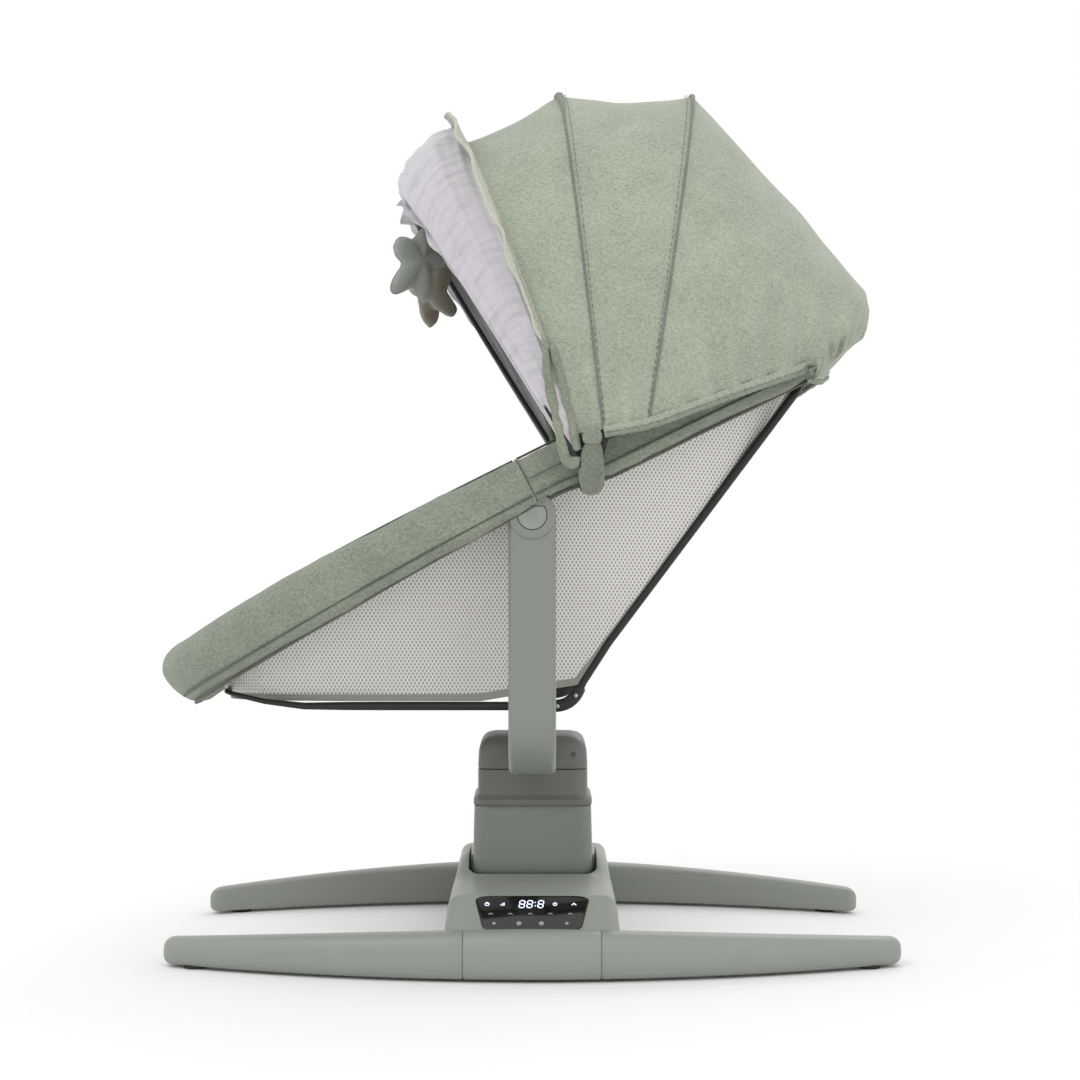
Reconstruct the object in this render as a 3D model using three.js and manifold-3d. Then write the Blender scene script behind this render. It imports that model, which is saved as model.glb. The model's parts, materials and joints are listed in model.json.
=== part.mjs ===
// A cradle-style electric baby swing: a floor stand with curved feet, a swaying tower and yoke, and a
// reclining mesh seat with a folding canopy and a toy arch. Millimetres, +Z up, origin on the floor
// under the tower. +X is the baby's head end, -X the foot end, and -Y the baby's left.
import * as THREE from "three";
import { ParametricGeometry } from "three/addons/geometries/ParametricGeometry.js";
import { RoundedBoxGeometry } from "three/addons/geometries/RoundedBoxGeometry.js";
import { mergeVertices } from "three/addons/utils/BufferGeometryUtils.js";
import Module from "manifold-3d";

const wasm = await Module();
wasm.setup();

// Clearances
const TOUCH = 0.4; // between pieces that rest on or sit in each other
const RUN = 0.6; // round a turning or sliding piece

// Floor stand
const FOOT_HALF = 387; // half length of a foot, along X
const FOOT_Y = 258; // centre line of a foot at its middle
const FOOT_BOW = 88; // how far the foot's ends curve back in
const FOOT_WIDE = [44, 34]; // width at the middle and at the tip
const FOOT_TALL = [48, 26]; // height at the middle and at the tip
const PAD_R = 12;
const PAD_TALL = 3;
const PAD_X = 352; // where the rubber pads sit
const SEAM_X = 70; // joint between the bridge and the plug-in legs
const BRIDGE_Y = 248; // half length of the bridge
const PANEL_SLOPE = { outer: [248, 47], inner: [208, 80] }; // [|y|, z] of the sloped end face
const BRIDGE_TOP = 79;
const BRIDGE_HUMP = 21; // how much higher the sides stand beside the tower
const BRIDGE_FLANK = [[3.4, 91], [44, 90], [66, 87.5], [90, 80], [100, 75]]; // [z, half width]
const BRIDGE_WALL = 3.5;
const PLATE_THICK = 3;
const PANEL = { top: 56, bottom: 45, long: 45, thick: 2.6, proud: 0.8 };

// Tower and yoke
const SWAY_Z = 50; // height of the sway axle
const AXLE_R = 5;
const TOWER_X = [66.5, 64.5]; // half width at the bottom and at the top
const TOWER_Y = 60; // half depth
const TOWER_Z = [76, 154];
const TOWER_WALL = 3;
const TOWER_CORNER = 14;
const WELL_GAP_X = 4; // round the tower in the bridge
const WELL_GAP_Y = 12;
const CAP_Z = [154, 195, 230]; // skirt, split line and top
const CAP_X = 60.5;
const SKIRT = 5; // how far the cap's lower edge flares out
const CORE = { x: 38, y: 22, bottom: 37 };
const ARM = { y: 225, z: 211, wide: 49, thick: 22, bend: 56, corner: 7 };
const HUB = { z: 472.3, r: 24.5 };
const HUB_FACE = [ARM.y - ARM.thick / 2 - 1, ARM.y + ARM.thick / 2 + 1]; // the hub disc's two faces
const PIN_R = 5;
const PIN_INNER = 199; // |y| where the recline pins start
const BUTTON = { r: 15, flat: 9, out: HUB_FACE[1] + 0.2, thick: 6.5, travel: 4 }; // flat: its straight top above the hub

// Seat
const RIM_TILT = THREE.MathUtils.degToRad(27.4);
const RIM_CENTRE = new THREE.Vector3(-39, 0, 475.5);
const RIM_LONG = 382; // half length of the rim tube's centre line
const RIM_WIDE = 200; // half width
const RIM_SQUARE = 2.35; // superellipse exponent
const RIM_CROWN = 12;
const RIM_R = 11;
const COVER = { inner: 14.5, side: 45, end: 33, foot: 33, head: 27 };
const COVER_SPLIT_X = 24; // where the cover's foot and head parts meet, beside the hub
const COVER_GAP = 2;
const LOWER = { y: 110, r: 8, foot: [-332, 268], bend: [40, 268], head: [295, 608] };
const LOWER_BEND = 22; // bend radius of the lower frame
const CORNER_R = 10.4;
const FLOOR_LIFT = 14; // the seat cloth above the lower frame's centre line
const BUCKET_LIP = 0.05; // how far down the wall the cloth and the liner start, as a share of it
const LINER_LIP = 0.12;
const BUCKET_WALL = 2.4;
const LINER_THICK = 12;
const LINER_GAP = 6; // between the bucket's cloth and the liner
const RECLINE = [-8, 12]; // degrees, head up and head down
const EAR_THICK = 13.8;
const EAR_GAP = 0.7; // between the hub bracket and the yoke's hub
const EAR = { y: [HUB_FACE[0] - EAR_GAP - EAR_THICK, HUB_FACE[0] - EAR_GAP], r: 15, clamp: RIM_R + 3.4, neck: 14 }; // hub bracket
const SPREAD = { hub: 0.06, hinge: 0.03 }; // half the angle round the rim that each clamp holds

// Canopy
const HINGE = new THREE.Vector3(60, 0, 505);
const BOW = { wide: 11, thick: 3.6, pitch: 5, first: 253.6, eye: 9 };
const BOW_TIPS = { middle: [28, 933], front: [-87, 911], rear: [174, 931] }; // apexes in side view
const ARCH_SQUARE = 2.7;
const TOY_TIP = [-134, 812];
const TOY_R = 4;
const CLOTH_OUT = 4.4; // cloth stands this far outside its bows
const CLOTH_THICK = 2;
const HINGE_PIN_R = 4;
const STEM = { y: [197, 205], face: 246.5, r: 7, boss: 13, plate: 7 }; // canopy hinge
const NET_FEET = { upper: [36, 571], lower: [-29, 600] }; // the net's lower corners
const STAR = { r: 36, thick: 24, drop: 56, y: 130, loop: TOY_R + 2.4, ribbon: 6 };

// ---------------------------------------------------------------- shapes

// Geometry to solid, whichever way round its faces were made.
function solid(geometry) {
  const bare = geometry.index ? geometry.toNonIndexed() : geometry.clone();
  bare.deleteAttribute("normal");
  bare.deleteAttribute("uv");
  const merged = mergeVertices(bare, 1e-3);
  const triVerts = new Uint32Array(merged.index.array);
  const vertProperties = new Float32Array(merged.attributes.position.array);
  const made = new wasm.Manifold(new wasm.Mesh({ numProp: 3, vertProperties, triVerts }));
  if (made.volume() > 0) return made;
  for (let i = 0; i < triVerts.length; i += 3) {
    [triVerts[i + 1], triVerts[i + 2]] = [triVerts[i + 2], triVerts[i + 1]];
  }
  return new wasm.Manifold(new wasm.Mesh({ numProp: 3, vertProperties, triVerts }));
}

function geometryOf(made) {
  const mesh = made.getMesh();
  const geometry = new THREE.BufferGeometry();
  geometry.setAttribute("position", new THREE.BufferAttribute(mesh.vertProperties, 3));
  geometry.setIndex(new THREE.BufferAttribute(mesh.triVerts, 1));
  const flat = geometry.toNonIndexed();
  flat.computeVertexNormals();
  return flat;
}

function box(x, y, z) {
  const geometry = new THREE.BoxGeometry(x[1] - x[0], y[1] - y[0], z[1] - z[0]);
  return solid(geometry.translate((x[0] + x[1]) / 2, (y[0] + y[1]) / 2, (z[0] + z[1]) / 2));
}

// A round bar between two points.
function rod(radius, from, to, sides = 16) {
  const along = to.clone().sub(from);
  const geometry = new THREE.CylinderGeometry(radius, radius, along.length(), sides);
  const up = new THREE.Vector3(0, 1, 0);
  geometry.applyQuaternion(new THREE.Quaternion().setFromUnitVectors(up, along.clone().normalize()));
  const middle = from.clone().lerp(to, 0.5);
  return solid(geometry.translate(middle.x, middle.y, middle.z));
}

// A washer or bush: a ring between two radii, on the Z axis.
function ring(inner, outer, z, sides = 16) {
  const profile = [[inner, z[0]], [outer, z[0]], [outer, z[1]], [inner, z[1]], [inner, z[0]]];
  const geometry = new THREE.LatheGeometry(profile.map(([r, h]) => new THREE.Vector2(r, h)), sides);
  return geometry.rotateX(Math.PI / 2);
}

// A closed skin over a row of equal rings. Ends: "middle" caps a ring to its centre, "pairs" closes a
// flat sheet's edge by joining each point to its mate, "round" joins the last ring to the first, and
// "closed" takes rings whose first and last are single points already.
function loft(rings, ends = "middle") {
  const rows = rings.slice();
  const closing = (row) => {
    if (ends === "pairs") return row.map((p, i) => p.clone().lerp(row[row.length - 1 - i], 0.5));
    const middle = row.reduce((sum, p) => sum.add(p), new THREE.Vector3()).divideScalar(row.length);
    return row.map(() => middle);
  };
  if (ends === "round") rows.push(rings[0]);
  else if (ends !== "closed") {
    rows.unshift(closing(rings[0]));
    rows.push(closing(rings.at(-1)));
  }
  const count = rings[0].length;
  const at = (u, v, target) => {
    target.copy(rows[Math.round(v * (rows.length - 1))][Math.round(u * count) % count]);
  };
  return solid(new ParametricGeometry(at, count, rows.length - 1));
}

function steps(count, from = 0, to = 1) {
  return Array.from({ length: count + 1 }, (_, i) => from + ((to - from) * i) / count);
}

// Corner points of a rounded rectangle, going once round: half sizes a and b, corner radius r.
function roundedOutline(a, b, r, perCorner = 3) {
  const points = [];
  for (const [sx, sy, start] of [[1, 1, 0], [-1, 1, 1], [-1, -1, 2], [1, -1, 3]]) {
    for (const t of steps(perCorner, start, start + 1)) {
      const angle = (t * Math.PI) / 2;
      points.push([sx * (a - r) + r * Math.cos(angle), sy * (b - r) + r * Math.sin(angle)]);
    }
  }
  return points;
}

// A closed outline in the XZ plane, pulled along Y between two values.
function slabXZ(outline, y) {
  const shape = new THREE.Shape(outline.map(([x, z]) => new THREE.Vector2(x, z)));
  const geometry = new THREE.ExtrudeGeometry(shape, { depth: y[1] - y[0], bevelEnabled: false });
  return solid(geometry.rotateX(Math.PI / 2).translate(0, y[1], 0));
}

// A ring of points round a curve: section [across, up] in the frame given by two unit vectors.
function placed(section, centre, across, up) {
  return section.map(([a, b]) => centre.clone().addScaledVector(across, a).addScaledVector(up, b));
}

function circle(radius, sides) {
  return steps(sides).slice(0, -1).map((t) => {
    return [radius * Math.cos(2 * Math.PI * t), radius * Math.sin(2 * Math.PI * t)];
  });
}

// A bar of any section along points that lie in a plane: across is the plane's normal.
function barAlong(points, section, across) {
  const rings = points.map((p, i) => {
    const before = points[Math.max(0, i - 1)];
    const after = points[Math.min(points.length - 1, i + 1)];
    const along = after.clone().sub(before).normalize();
    const up = along.clone().cross(across).normalize();
    return placed(section, p, across, up);
  });
  return loft(rings);
}

// Points of a polyline with its inner corners rounded to a radius.
function filleted(corners, radius, perBend = 5) {
  const points = [corners[0].clone()];
  for (let i = 1; i < corners.length - 1; i += 1) {
    const back = corners[i - 1].clone().sub(corners[i]).normalize();
    const on = corners[i + 1].clone().sub(corners[i]).normalize();
    const half = back.angleTo(on) / 2;
    const reach = radius / Math.tan(half);
    const from = corners[i].clone().addScaledVector(back, reach);
    const to = corners[i].clone().addScaledVector(on, reach);
    const centre = corners[i].clone().addScaledVector(back.clone().add(on).normalize(), radius / Math.sin(half));
    for (const t of steps(perBend)) {
      const spoke = from.clone().lerp(to, t).sub(centre).normalize();
      points.push(centre.clone().addScaledVector(spoke, radius));
    }
  }
  points.push(corners.at(-1).clone());
  return points;
}

const X_AXIS = new THREE.Vector3(1, 0, 0);
const Y_AXIS = new THREE.Vector3(0, 1, 0);
const at = (x, y, z) => new THREE.Vector3(x, y, z);
const SIDES = { left: -1, right: 1 };

// ---------------------------------------------------------------- finishes

const finish = (color, roughness, metalness = 0) => {
  return new THREE.MeshStandardMaterial({ color, roughness, metalness });
};
const FINISH = {
  stand: () => finish(0x8c9288, 0.5),
  tower: () => finish(0x7a8079, 0.5),
  cap: () => finish(0x646660, 0.55),
  arm: () => finish(0x828581, 0.45),
  black: () => finish(0x171818, 0.5),
  panel: () => finish(0x0b0b0d, 0.12),
  rubber: () => finish(0x2b2c2b, 0.9),
  steel: () => finish(0xb7babd, 0.3, 1),
  tube: () => finish(0x2a2b2a, 0.45, 0.6),
  copper: () => finish(0xb06a3a, 0.4, 1),
  board: () => finish(0x1f5a34, 0.6),
  melange: () => finish(0xa3ad96, 0.95),
  mesh: () => finish(0xd8d6d1, 0.9),
  liner: () => finish(0xecebe6, 0.95),
  webbing: () => finish(0x8f938a, 0.9),
  net: () => finish(0xcfccd3, 0.9),
  plushSage: () => finish(0x8f9a86, 1),
  plushTaupe: () => finish(0x8c8578, 1),
};

const swing = new THREE.Group();

function add(group, name, made, material) {
  const mesh = new THREE.Mesh(made.isBufferGeometry ? made : geometryOf(made), material);
  mesh.name = name;
  group.add(mesh);
}

// ---------------------------------------------------------------- floor stand

// A foot's section at x, on the side given by its sign; grow makes it a clearance envelope.
function footRing(x, side, grow = 0) {
  const t = Math.min(1, Math.abs(x) / FOOT_HALF);
  const y = FOOT_Y - FOOT_BOW * t * t;
  const half = FOOT_WIDE[0] / 2 + ((FOOT_WIDE[1] - FOOT_WIDE[0]) / 2) * t;
  const tall = FOOT_TALL[0] + (FOOT_TALL[1] - FOOT_TALL[0]) * Math.pow(t, 1.6);
  const tip = t > 0.97 ? 0.72 : 1; // blunt, rounded nose
  const outline = [
    [-0.92, 0], [0.66, 0], [0.9, 0.22], [1, 0.5], [0.93, 0.78], [0.66, 0.96],
    [0.2, 1], [-0.55, 0.98], [-0.9, 0.84], [-1, 0.5],
  ];
  return outline.map(([a, b]) => {
    const outwards = a * half * tip + Math.sign(a) * grow;
    const height = PAD_TALL + TOUCH + tall * ((b - 0.5) * tip + 0.5) + (b > 0.5 ? grow : -grow);
    return at(x, side * (y + outwards), height);
  });
}

function leg(side, end, grow = 0) {
  const start = SEAM_X + TOUCH - grow;
  const xs = steps(9, start, FOOT_HALF - 10).concat([FOOT_HALF - 2, FOOT_HALF]);
  return loft(xs.map((x) => footRing(end * x, side, grow)));
}

// Half width of the bridge's flank at a height.
function flank(z) {
  const above = BRIDGE_FLANK.findIndex(([height]) => height >= z);
  if (above < 1) return above === 0 ? BRIDGE_FLANK[0][1] : BRIDGE_FLANK.at(-1)[1];
  const [z0, w0] = BRIDGE_FLANK[above - 1];
  const [z1, w1] = BRIDGE_FLANK[above];
  return w0 + ((w1 - w0) * (z - z0)) / (z1 - z0);
}

function bridgeHeight(y) {
  const [outer, inner] = [PANEL_SLOPE.outer, PANEL_SLOPE.inner];
  const far = Math.abs(y);
  if (far > inner[0]) return inner[1] - ((inner[1] - outer[1]) * (far - inner[0])) / (outer[0] - inner[0]);
  const hump = THREE.MathUtils.smoothstep(far, 26, 84);
  return BRIDGE_TOP + BRIDGE_HUMP * (1 - hump);
}

function bridgeRing(y, inset) {
  const top = bridgeHeight(y) - inset;
  const low = BRIDGE_FLANK[0][0];
  const right = [[flank(low), low], [flank(44), Math.min(44, top - 16)], [flank(top - 12), top - 12]];
  right.push([flank(top - 4) - 1.5, top - 4], [flank(top) - 8, top]);
  const half = right.map(([x, z]) => at(x - inset, y, z));
  const mirrored = half.map((p) => at(-p.x, p.y, p.z)).reverse();
  return half.concat(mirrored);
}

// The sloped control panel at the near end: local axes x, up the slope and out of it.
function panelSlab(grow, depth, height) {
  const [outer, inner] = [PANEL_SLOPE.outer, PANEL_SLOPE.inner];
  const run = new THREE.Vector2(outer[0] - inner[0], inner[1] - outer[1]);
  const shape = new THREE.Shape();
  const [top, bottom, half] = [PANEL.top + grow, PANEL.bottom + grow, PANEL.long / 2 + grow];
  const cut = 7;
  shape.moveTo(-top + cut, half).lineTo(top - cut, half).lineTo(top, half - cut);
  shape.lineTo(bottom + 2, -half + cut).lineTo(bottom - cut, -half).lineTo(-bottom + cut, -half);
  shape.lineTo(-bottom - 2, -half + cut).lineTo(-top, half - cut).closePath();
  const geometry = new THREE.ExtrudeGeometry(shape, { depth: height, bevelEnabled: false });
  geometry.translate(0, 0, -depth);
  const up = at(0, run.x, run.y).normalize();
  const out = X_AXIS.clone().cross(up).normalize();
  const middle = at(0, -(outer[0] + inner[0]) / 2, (outer[1] + inner[1]) / 2);
  geometry.applyMatrix4(new THREE.Matrix4().makeBasis(X_AXIS, up, out).setPosition(middle));
  return solid(geometry);
}

const INLET = { y: 150, z: 34, r: 7, hole: 3, x: [74, 91.5] };

function powerInlet() {
  return ring(INLET.hole, INLET.r, [INLET.x[0], INLET.x[1]], 16).rotateY(Math.PI / 2);
}

function bridge() {
  const inner = BRIDGE_Y - 44;
  const ys = [-BRIDGE_Y, -PANEL_SLOPE.inner[0], -130, -84, -62, -44, -26, 0, 26, 44, 62, 84, 130];
  ys.push(PANEL_SLOPE.inner[0], BRIDGE_Y);
  const inside = ys.filter((y) => Math.abs(y) < inner);
  const body = loft(ys.map((y) => bridgeRing(y, 0)));
  const hollow = loft([-inner, ...inside, inner].map((y) => bridgeRing(y, BRIDGE_WALL)));
  let made = body;
  for (const side of [-1, 1]) {
    made = made.add(loft([-SEAM_X, -25, 25, SEAM_X].map((x) => footRing(x, side))));
  }
  made = made.subtract(hollow);
  const below = BRIDGE_FLANK[0][0];
  made = made.subtract(box([-FOOT_HALF, FOOT_HALF], [-inner, inner], [0, below + PLATE_THICK]));
  const well = roundedOutline(TOWER_X[0] + WELL_GAP_X, TOWER_Y + WELL_GAP_Y, TOWER_CORNER);
  made = made.subtract(loft([40, 130].map((z) => well.map(([x, y]) => at(x, y, z)))));
  for (const side of [-1, 1]) {
    for (const end of [-1, 1]) made = made.subtract(leg(side, end, TOUCH));
  }
  made = made.subtract(panelSlab(TOUCH, PANEL.thick - PANEL.proud + TOUCH, 12));
  const hole = rod(INLET.r + TOUCH, at(INLET.x[0] - 2, INLET.y, INLET.z), at(99, INLET.y, INLET.z));
  return made.subtract(hole);
}

function floorStand() {
  const stand = new THREE.Group();
  add(stand, "base_bridge", bridge(), FINISH.stand());
  const plateY = BRIDGE_Y - 44 - TOUCH;
  const low = PAD_TALL + TOUCH;
  const plate = box([-86, 86], [-plateY, plateY], [low, low + PLATE_THICK - TOUCH]);
  add(stand, "base_plate", plate, FINISH.stand());
  for (const [sideName, side] of Object.entries(SIDES)) {
    for (const [endName, end] of [["foot", -1], ["head", 1]]) {
      add(stand, `leg_${sideName}_${endName}`, leg(side, end), FINISH.stand());
      const t = PAD_X / FOOT_HALF;
      const y = side * (FOOT_Y - FOOT_BOW * t * t);
      const pad = rod(PAD_R, at(end * PAD_X, y, 0), at(end * PAD_X, y, PAD_TALL), 16);
      add(stand, `foot_pad_${sideName}_${endName}`, pad, FINISH.rubber());
    }
  }
  add(stand, "control_panel", panelSlab(0, PANEL.thick - PANEL.proud, PANEL.thick), FINISH.panel());
  const floor = low + PLATE_THICK;
  add(stand, "circuit_board", box([-52, 52], [-188, -146], [34, 35.6]), FINISH.board());
  const speaker = rod(24, at(0, 122, floor), at(0, 122, floor + 20), 20);
  add(stand, "speaker", speaker, FINISH.black());
  const inlet = powerInlet();
  add(stand, "power_inlet", inlet.translate(0, INLET.y, INLET.z), FINISH.black());
  add(stand, "drive_coil", ring(9, 24, [floor, floor + 15], 20), FINISH.copper());
  const reach = CORE.x + 12;
  const bracketOutline = [[-16, floor], [16, floor], [12, SWAY_Z + 9], [-12, SWAY_Z + 9]];
  for (const [endName, end] of [["foot", -1], ["head", 1]]) {
    const profile = slabXZ(bracketOutline, [-2, 2]).rotate([0, 0, 90]);
    const bore = rod(AXLE_R + TOUCH, at(-9, 0, SWAY_Z), at(9, 0, SWAY_Z));
    const bracket = profile.subtract(bore).translate([end * reach, 0, 0]);
    add(stand, `axle_bracket_${endName}`, bracket, FINISH.steel());
    const inner = CORE.x + 1.5;
    const spring = ring(AXLE_R + TOUCH, AXLE_R + 3, [-3.5, 3.5], 16).rotateY(Math.PI / 2);
    spring.translate(end * (inner + 3.5), 0, SWAY_Z);
    add(stand, `sway_spring_${endName}`, spring, FINISH.steel());
  }
  const half = reach + 5;
  add(stand, "sway_axle", rod(AXLE_R, at(-half, 0, SWAY_Z), at(half, 0, SWAY_Z)), FINISH.steel());
  return stand;
}

// ---------------------------------------------------------------- tower and yoke

function columnRing(halfX, halfY, corner, z) {
  return roundedOutline(halfX, halfY, corner).map(([x, y]) => at(x, y, z));
}

function towerHousing() {
  const skin = (inset, z) => {
    const corner = TOWER_CORNER - inset;
    return z.map((height, i) => columnRing(TOWER_X[i] - inset, TOWER_Y - inset, corner, height));
  };
  const outside = loft(skin(0, TOWER_Z));
  return outside.subtract(loft(skin(TOWER_WALL, [TOWER_Z[0] - 1, TOWER_Z[1] + 1])));
}

function armCentre(side) {
  const corners = [at(0, side * 4, ARM.z), at(0, side * ARM.y, ARM.z), at(0, side * ARM.y, HUB.z)];
  return filleted(corners, ARM.bend, 8);
}

// One half of the yoke, or its clearance envelope.
function armBar(side, grow = 0) {
  const section = roundedOutline(ARM.wide / 2 + grow, ARM.thick / 2 + grow, ARM.corner, 2);
  return barAlong(armCentre(side), section, X_AXIS);
}

// A round bar on the hub's axis, between two distances from the middle.
function hubRod(side, radius, y, sides = 16) {
  return rod(radius, at(0, side * y[0], HUB.z), at(0, side * y[1], HUB.z), sides);
}

// A recline button, flat along its top, or the pocket it slides in.
function buttonShape(side, grow, y) {
  const radius = BUTTON.r + grow;
  const above = box([-radius, radius], [-radius - BUTTON.out, radius + BUTTON.out], [BUTTON.flat + grow, 2 * radius]);
  return hubRod(side, radius, y, 24).subtract(above.translate([0, 0, HUB.z]));
}

const POCKET_FLOOR = BUTTON.out - BUTTON.thick - BUTTON.travel - RUN;

function arm(side) {
  const disc = hubRod(side, HUB.r, HUB_FACE, 24);
  const bore = hubRod(side, PIN_R + TOUCH, [PIN_INNER - 9, HUB_FACE[1] + 1]);
  const pocket = buttonShape(side, RUN, [POCKET_FLOOR, HUB_FACE[1] + 1]);
  return armBar(side).add(disc).subtract(bore).subtract(pocket);
}

function capPart(z, grow) {
  const corner = TOWER_CORNER + 2;
  const rows = z.map(([height, out]) => columnRing(CAP_X + out + grow, TOWER_Y - 2 + out + grow, corner, height));
  return loft(rows);
}

function cap() {
  const [skirt, split, top] = CAP_Z;
  const low = skirt + TOUCH;
  const wall = -TOWER_WALL;
  const lowerOut = capPart([[low, SKIRT], [low + 7, SKIRT], [low + 13, 0], [split - TOUCH, 0]], 0);
  const lowerIn = capPart([[low - 1, 2], [low + 7, 2], [low + 13, 0], [split, 0]], wall);
  const round = [[split, 0], [top - 14, -1], [top - 5, -4.5], [top, -13]];
  const upperOut = capPart(round, 0);
  const upperIn = capPart([[split - 1, 0], [top - 14, -1], [top - 5, -5]], wall);
  let upper = upperOut.subtract(upperIn);
  let lower = lowerOut.subtract(lowerIn);
  for (const side of [-1, 1]) {
    upper = upper.subtract(armBar(side, TOUCH));
    lower = lower.subtract(armBar(side, TOUCH));
  }
  return { upper, lower };
}

function towerCore() {
  const top = ARM.z - ARM.thick / 2 - TOUCH;
  const block = box([-CORE.x, CORE.x], [-CORE.y, CORE.y], [CORE.bottom, top]);
  const bore = rod(AXLE_R + TOUCH, at(-60, 0, SWAY_Z), at(60, 0, SWAY_Z));
  const pockets = box([-CORE.x + 6, CORE.x - 6], [-CORE.y - 1, -4], [SWAY_Z + 16, top - 14]);
  const behind = box([-CORE.x + 6, CORE.x - 6], [4, CORE.y + 1], [SWAY_Z + 16, top - 14]);
  return block.subtract(bore).subtract(pockets).subtract(behind);
}

function tower() {
  const column = new THREE.Group();
  add(column, "tower_housing", towerHousing(), FINISH.tower());
  const { upper, lower } = cap();
  add(column, "cap_lower", lower, FINISH.cap());
  add(column, "cap_upper", upper, FINISH.cap());
  add(column, "tower_core", towerCore(), FINISH.black());
  const magnetTop = CORE.bottom - TOUCH;
  add(column, "drive_magnet", box([-14, 14], [-9, 9], [magnetTop - 10, magnetTop]), FINISH.steel());
  for (const [name, side] of Object.entries(SIDES)) {
    add(column, `arm_${name}`, arm(side), FINISH.arm());
    const pin = hubRod(side, PIN_R, [PIN_INNER, POCKET_FLOOR - 1]);
    add(column, `recline_pin_${name}`, pin, FINISH.steel());
  }
  return column;
}

function reclineButtons() {
  const buttons = new THREE.Group();
  for (const [name, side] of Object.entries(SIDES)) {
    const button = buttonShape(side, 0, [BUTTON.out - BUTTON.thick, BUTTON.out]);
    add(buttons, `recline_button_${name}`, button, FINISH.stand());
  }
  return buttons;
}

// ---------------------------------------------------------------- seat

const RIM_ALONG = at(Math.cos(RIM_TILT), 0, Math.sin(RIM_TILT));
const RIM_UP = at(-Math.sin(RIM_TILT), 0, Math.cos(RIM_TILT));

// Superellipse cosine and sine.
const squared = (value, power) => Math.sign(value) * Math.pow(Math.abs(value), 2 / power);

// A point of the rim's centre line. Angle 0 is the head end and a quarter turn is the right side.
function rimPoint(angle, out = 0, up = 0) {
  const c = squared(Math.cos(angle), RIM_SQUARE);
  const s = squared(Math.sin(angle), RIM_SQUARE);
  const normal = rimOutward(angle);
  return RIM_CENTRE.clone()
    .addScaledVector(RIM_ALONG, RIM_LONG * c)
    .addScaledVector(Y_AXIS, RIM_WIDE * s)
    .addScaledVector(RIM_UP, RIM_CROWN * (1 - c * c) + up)
    .addScaledVector(normal, out);
}

function rimOutward(angle) {
  const step = 0.01;
  const point = (t) => {
    return RIM_ALONG.clone().multiplyScalar(RIM_LONG * squared(Math.cos(t), RIM_SQUARE))
      .addScaledVector(Y_AXIS, RIM_WIDE * squared(Math.sin(t), RIM_SQUARE));
  };
  const along = point(angle + step).sub(point(angle - step)).normalize();
  return along.cross(RIM_UP).normalize();
}

function rimTube(radius, sides, count = 32) {
  const rows = steps(count).slice(0, -1).map((t) => {
    const angle = 2 * Math.PI * t + Math.PI / count;
    return circle(radius, sides).map(([a, b]) => rimPoint(angle, a, b));
  });
  return loft(rows, "round");
}

// Where the rim's centre line crosses a given x, between head and foot, on the right side.
function rimAngleAt(x) {
  let [low, high] = [0.01, Math.PI - 0.01];
  for (let i = 0; i < 40; i += 1) {
    const middle = (low + high) / 2;
    if (rimPoint(middle).x > x) low = middle;
    else high = middle;
  }
  return low;
}

// The padded band's section: [out, up] at an angle round the rim.
function coverSection(angle, half) {
  const beside = Math.abs(Math.sin(angle));
  const out = COVER.end + (COVER.side - COVER.end) * beside;
  return [
    [-COVER.inner, -half * 0.72], [-COVER.inner * 0.3, -half * 0.96], [out * 0.62, -half],
    [out * 0.93, -half * 0.82], [out, -half * 0.2], [out * 0.94, half * 0.5],
    [out * 0.6, half * 0.92], [0, half], [-COVER.inner, half * 0.6], [-COVER.inner - 2, 0],
  ];
}

function coverBand(from, to, halfAt, count) {
  const rows = steps(count, from, to).map((angle) => {
    return coverSection(angle, halfAt(angle)).map(([a, b]) => rimPoint(angle, a, b));
  });
  return loft(rows);
}

// Room for the yoke through the whole recline, inside the band beside each hub.
function armSweep(side) {
  const clear = 1.6;
  const faces = [HUB_FACE[0] - RUN, HUB_FACE[1] + RUN];
  const y = sideSpan(side, faces);
  let made = hubRod(side, HUB.r + clear, faces, 24);
  const half = ARM.wide / 2 + clear;
  for (const angle of [...steps(3, RECLINE[0] - 1, RECLINE[1] + 1)]) {
    const post = box([-half, half], y, [-90, 0]).rotate([0, -angle, 0]);
    made = made.add(post.translate([0, 0, HUB.z]));
  }
  return made;
}

const HUB_ANGLE = rimAngleAt(14);
const HINGE_ANGLE = rimAngleAt(HINGE.x);

// Two distances from the middle as lowest and highest y on one side.
function sideSpan(side, [inner, outer]) {
  return side > 0 ? [inner, outer] : [-outer, -inner];
}

// A round bar on the canopy hinge's axis, between two distances from the middle.
function hingeRod(side, radius, y) {
  return rod(radius, at(HINGE.x, side * y[0], HINGE.z), at(HINGE.x, side * y[1], HINGE.z), 16);
}

// The seat's half of the recline hub: a clamp round the rim tube and an ear on the pin.
function hubBracket(side, grow = 0) {
  const angle = side > 0 ? HUB_ANGLE : -HUB_ANGLE;
  const near = rimPoint(angle - SPREAD.hub);
  const far = rimPoint(angle + SPREAD.hub);
  const faces = [EAR.y[0] - grow, EAR.y[1] + grow];
  const clamp = rod(EAR.clamp + grow, near, far, 12);
  const ear = hubRod(side, EAR.r + grow, faces);
  const up = rimPoint(angle);
  const half = EAR.neck + grow;
  const neckOutline = [[-half, HUB.z], [half, HUB.z], [up.x + EAR.neck, up.z], [up.x - EAR.neck, up.z]];
  return clamp.add(ear).add(slabXZ(neckOutline, sideSpan(side, faces)));
}

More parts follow.
